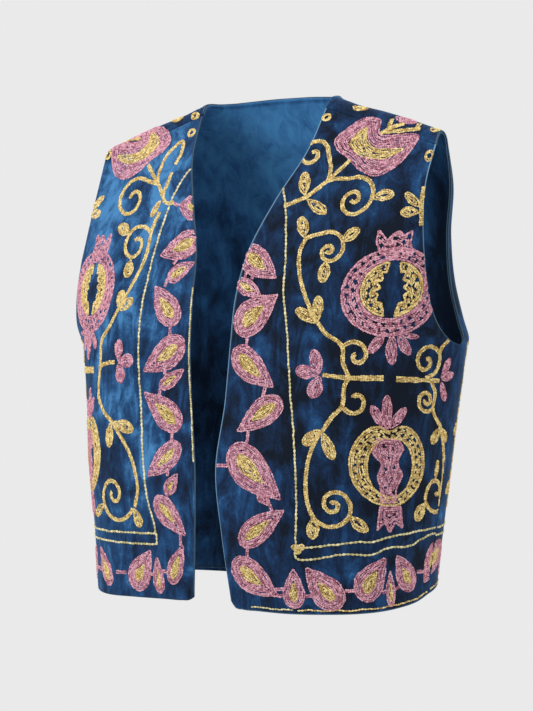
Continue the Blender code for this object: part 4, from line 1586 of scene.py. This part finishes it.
left_ground = Ground("front_left")
right_ground = Ground("front_right")
border(left_ground, LEFT_LEAVES, LEFT_LINKS)
border(right_ground, RIGHT_LEAVES, RIGHT_LINKS)
petal(left_ground, NOTCH_LOBE)
frame_lines(left_ground, LEFT_FRAME, LEFT_FRAME_FOOT)
frame_lines(right_ground, RIGHT_FRAME, RIGHT_FRAME_FOOT)
for knot in CORNER_KNOTS:
    fill(left_ground, "yellow", ring_arc(knot, 0.40, 0.36, 0, 350), spacing=0.15)
branches(left_ground, LEFT_STEMS, LEFT_CURLS, LEFT_BUDS, LEFT_PETALS, LEFT_LEADS, LEFT_ROWS)
branches(right_ground, RIGHT_STEMS, RIGHT_CURLS, RIGHT_BUDS, RIGHT_PETALS, RIGHT_LEADS, RIGHT_ROWS)
for side_ground in (left_ground, Ground("front_right", across=-1.6, up=0.8)):
    branches(side_ground, SIDE_STEMS, SIDE_CURLS, SIDE_BUDS, SIDE_PETALS, rows=SIDE_ROWS)
fruit(left_ground)
fruit(Ground("front_right", across=3.9, up=0.5, squeeze=0.72))
armhole_sprig(left_ground)
armhole_sprig(Ground("front_right", across=0.3, up=1.0))
rings(left_ground, LEFT_RINGS)
rings(right_ground, RIGHT_RINGS)
shoulder_flower(left_ground, across=14.0, up=-5.8)
shoulder_flower(right_ground, across=15.4, up=-4.9)
for edging in HEM_EDGINGS:
    hem_edging(*edging)
stitch(right_ground, "cream", eased(RIGHT_FRONT_EDGING), width=EDGING_WIDTH)

for sign in (1.0, -1.0):
    half_back = Ground("back", sign=sign)
    back_garden = Ground("back", across=-5.2, up=1.2, sign=sign)
    fruit(back_garden)
    branches(back_garden, LEFT_STEMS, LEFT_CURLS, LEFT_BUDS, LEFT_PETALS, LEFT_LEADS, LEFT_ROWS)
    branches(half_back, BACK_STEMS, BACK_CURLS, BACK_BUDS)
    shoulder_flower(half_back, across=9.0, up=-4.6)
    frame_lines(half_back, BACK_FRAME, BACK_FRAME_FOOT)
    border(half_back, BACK_HEM_LEAVES, BACK_HEM_LINKS)
centre_leaves = {name: values[:BACK_CENTRE_LEAVES] for name, values in RIGHT_LEAVES.items()}
border(Ground("back", across=-5.5, up=0.6), centre_leaves, BACK_LINKS)
border(Ground("back"), BACK_SINGLE_LEAVES, ())


def laid_links(panel, rows):
    """Where each link of the rows lies on the cloth, and whether it lies past the shoulder seam."""
    start = np.concatenate([row[0] for row in rows]) / 100
    end = np.concatenate([row[1] for row in rows]) / 100
    width = np.concatenate([row[2] for row in rows]) / 100
    row, column, outside = panel.locate(np.concatenate((start, end)))
    count = len(start)
    points = panel.sample(panel.points, row, column)
    normals = unit(panel.sample(panel.normals, row, column))
    edge = panel.sample(panel.edge_distance[..., None], row, column)[:, 0]
    sound = (outside < 0.0004) & (edge > 0.0003)
    long_enough = np.linalg.norm(end - start, axis=1) > SHORTEST_LINK
    kept = sound[:count] & sound[count:] & long_enough
    beyond = (row[:count] > panel.seam_row)[kept]
    outward = unit(normals[:count][kept] + normals[count:][kept])
    return points[:count][kept], points[count:][kept], outward, width[kept], beyond


def thread_mesh(name, low, high, outward, width, material, seed):
    """One mesh of many chain links, each from its low end to its high end."""
    ahead = high - low
    aside = unit(np.cross(outward, ahead))
    rng = np.random.default_rng(seed)
    tone = rng.uniform(0, 1, len(low))
    wander = rng.normal(0, LINK_WANDER, (len(low), 2))
    half = width * 0.5 * rng.uniform(*WIDTH_SPREAD, len(low))
    rise = width * LINK_HEIGHT * rng.uniform(*HEIGHT_SPREAD, len(low))
    vertices = []
    lift = []
    for number, station in enumerate(rows_of(LINK_STATIONS)):
        centre = low + ahead * station["along"] + aside * (half * wander[:, number % 2])[:, None]
        for across, height in zip(LINK_SECTION["across"], LINK_SECTION["rise"]):
            sideways = aside * (half * station["half"] * across)[:, None]
            upward = outward * (rise * station["rise"] * height)[:, None]
            vertices.append(centre + sideways + upward)
            # lift: a painted highlight on the crowns of the strands and painted shade at their feet and
            # in the groove between them
            lift.append(np.full(len(low), max(height, 0) * station["rise"]))
    vertices = np.stack(vertices, axis=1)
    lift = np.stack(lift, axis=1)
    per_link = vertices.shape[1]
    per_station = len(LINK_SECTION["across"])
    quads = []
    for i in range(len(LINK_STATIONS["along"]) - 1):
        for j in range(per_station - 1):
            corner = i * per_station + j
            quads.append((corner, corner + per_station, corner + per_station + 1, corner + 1))
    faces = np.array(quads)[None] + np.arange(len(low))[:, None, None] * per_link
    values = {"tone": np.repeat(tone, per_link), "lift": lift.ravel()}
    return mesh_piece(name, vertices.reshape(-1, 3), faces.reshape(-1, 4), values, material)


# The pale blue 7fa9c6 is the painted highlight along the free edges
outer_velvet = velvet("blue_velvet", ("040d1a", "0b223f", "163a60", "386b98"), "7fa9c6", 0.32)
# The lining is the same velvet as outside, in lighter tones and with more sheen: painted light for the
# shaded inside of the back
inner_lit_tones = ("081a30", "183a5e", "275584", "38709f")
lit_inner_velvet = velvet("inside_velvet", inner_lit_tones, "7fa9c6", 0.40, mottle=0.7)
# The first colour of each thread is the painted shade between its strands
threads = {
    "pink": thread_material("pink_thread", "451826", "a45b71", "dca9b6"),
    "yellow": thread_material("yellow_thread", "553a0c", "b39047", "ecd794"),
    "cream": thread_material("cream_thread", "55502c", "b8ad74", "dfd6aa"),
}
cloth = {
    name: shell(name, panel, 0.0, PANEL_THICKNESS, outer_velvet)
    for name, panel in panels.items()
}
lining_panel = back_panel(*back_steps)
lining_panel.crease(CREASES["back"])
# Painted light below the neck, painted shade lower down and at the side
lining_panel.brush(LINING_PAINTED_LIGHT)
seam_line = np.exp(-((lining_panel.free_distance - TOPSTITCH_DEPTH) / TOPSTITCH_WIDTH) ** 2)
lining_panel.nap -= TOPSTITCH_SHADE * seam_line
cloth["back_lining"] = shell("back_lining", lining_panel, PANEL_THICKNESS + SEAM_GAP,
                             LINING_THICKNESS, lit_inner_velvet, rise=LINING_HEM_RISE)
for name, piece in cloth.items():
    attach(piece, "root")
    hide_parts(name)

laid = {}
for (name, thread), rows in sorted(sewn.items()):
    *parts, beyond = laid_links(grounds[name], rows)
    for on_back in (False, True):
        chosen = beyond == on_back
        if chosen.any():
            owner = "back" if on_back else name
            laid.setdefault((owner, thread), []).append([part[chosen] for part in parts])
stitches = {name: [] for name in cloth}
for seed, ((name, thread), groups) in enumerate(sorted(laid.items())):
    low, high, outward, width = (np.concatenate(parts) for parts in zip(*groups))
    piece_name = name + "_" + thread + "_stitches"
    piece = thread_mesh(piece_name, low, high, outward, width, threads[thread], seed)
    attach(piece, "root")
    stitches[name].append(piece)

for name in ("front_left", "front_right"):
    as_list(stitches[name])
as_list(stitches["back"])

CAMERA_TURN = math.radians(33)
CAMERA_DISTANCE = 2.59
CAMERA_HEIGHT = -0.266
CAMERA_SIDE = -0.003
CAMERA_LENS = 126.7
STUDIO_COLOUR = "eaeaea"
FLOOR_RADIUS = 3.2
FLOOR_HEIGHT = -1.4

toward = np.array((math.sin(CAMERA_TURN), -math.cos(CAMERA_TURN), 0.0))
rightward = np.array((math.cos(CAMERA_TURN), math.sin(CAMERA_TURN), 0.0))
upward = np.array((0.0, 0.0, 1.0))
middle = np.array((0.0, 0.0, CAMERA_HEIGHT))

camera_data = bpy.data.cameras.new("camera")
camera_data.lens = CAMERA_LENS
camera_data.sensor_width = 36.0
camera = placed("camera", camera_data)
camera.location = toward * CAMERA_DISTANCE + rightward * CAMERA_SIDE + middle
camera.rotation_euler = (math.pi / 2, 0.0, CAMERA_TURN)
bpy.context.scene.camera = camera


def soft_light(name, right, near, up, size, power):
    """A square soft light, placed from the middle of the object and turned to it."""
    data = bpy.data.lights.new(name, "AREA")
    data.shape = "SQUARE"
    data.size = size
    data.energy = power
    light = placed(name, data)
    offset = rightward * right + toward * near + upward * up
    light.location = middle + offset
    aim = -offset / np.linalg.norm(offset)
    turn = math.atan2(aim[1], aim[0]) - math.pi / 2
    tilt = math.asin(aim[2]) + math.pi / 2
    light.rotation_euler = (tilt, 0.0, turn)


soft_light("key_light", -1.7, 1.2, 1.1, 1.4, 45.0)
soft_light("fill_light", 1.6, 1.7, 0.3, 1.6, 18.0)
soft_light("top_light", 0.2, -0.6, 1.9, 1.4, 22.0)

world = bpy.data.worlds.new("studio")
world.use_nodes = True
world.node_tree.nodes["Background"].inputs["Color"].default_value = colour_of(STUDIO_COLOUR)
world.node_tree.nodes["Background"].inputs["Strength"].default_value = 1.0
bpy.context.scene.world = world
bpy.context.scene.view_settings.view_transform = "Standard"

floor_mesh = bpy.data.meshes.new("floor")
turns = np.linspace(0, 2 * math.pi, 65)[:-1]
corners = [(FLOOR_RADIUS * math.cos(a), FLOOR_RADIUS * math.sin(a), FLOOR_HEIGHT) for a in turns]
floor_mesh.from_pydata(corners, [], [tuple(range(len(corners)))])
floor_paint, _, _, floor_shader = new_material("floor_paint")
floor_shader.inputs["Base Color"].default_value = colour_of(STUDIO_COLOUR)
floor_shader.inputs["Roughness"].default_value = 0.9
floor_mesh.materials.append(floor_paint)
placed("floor", floor_mesh)
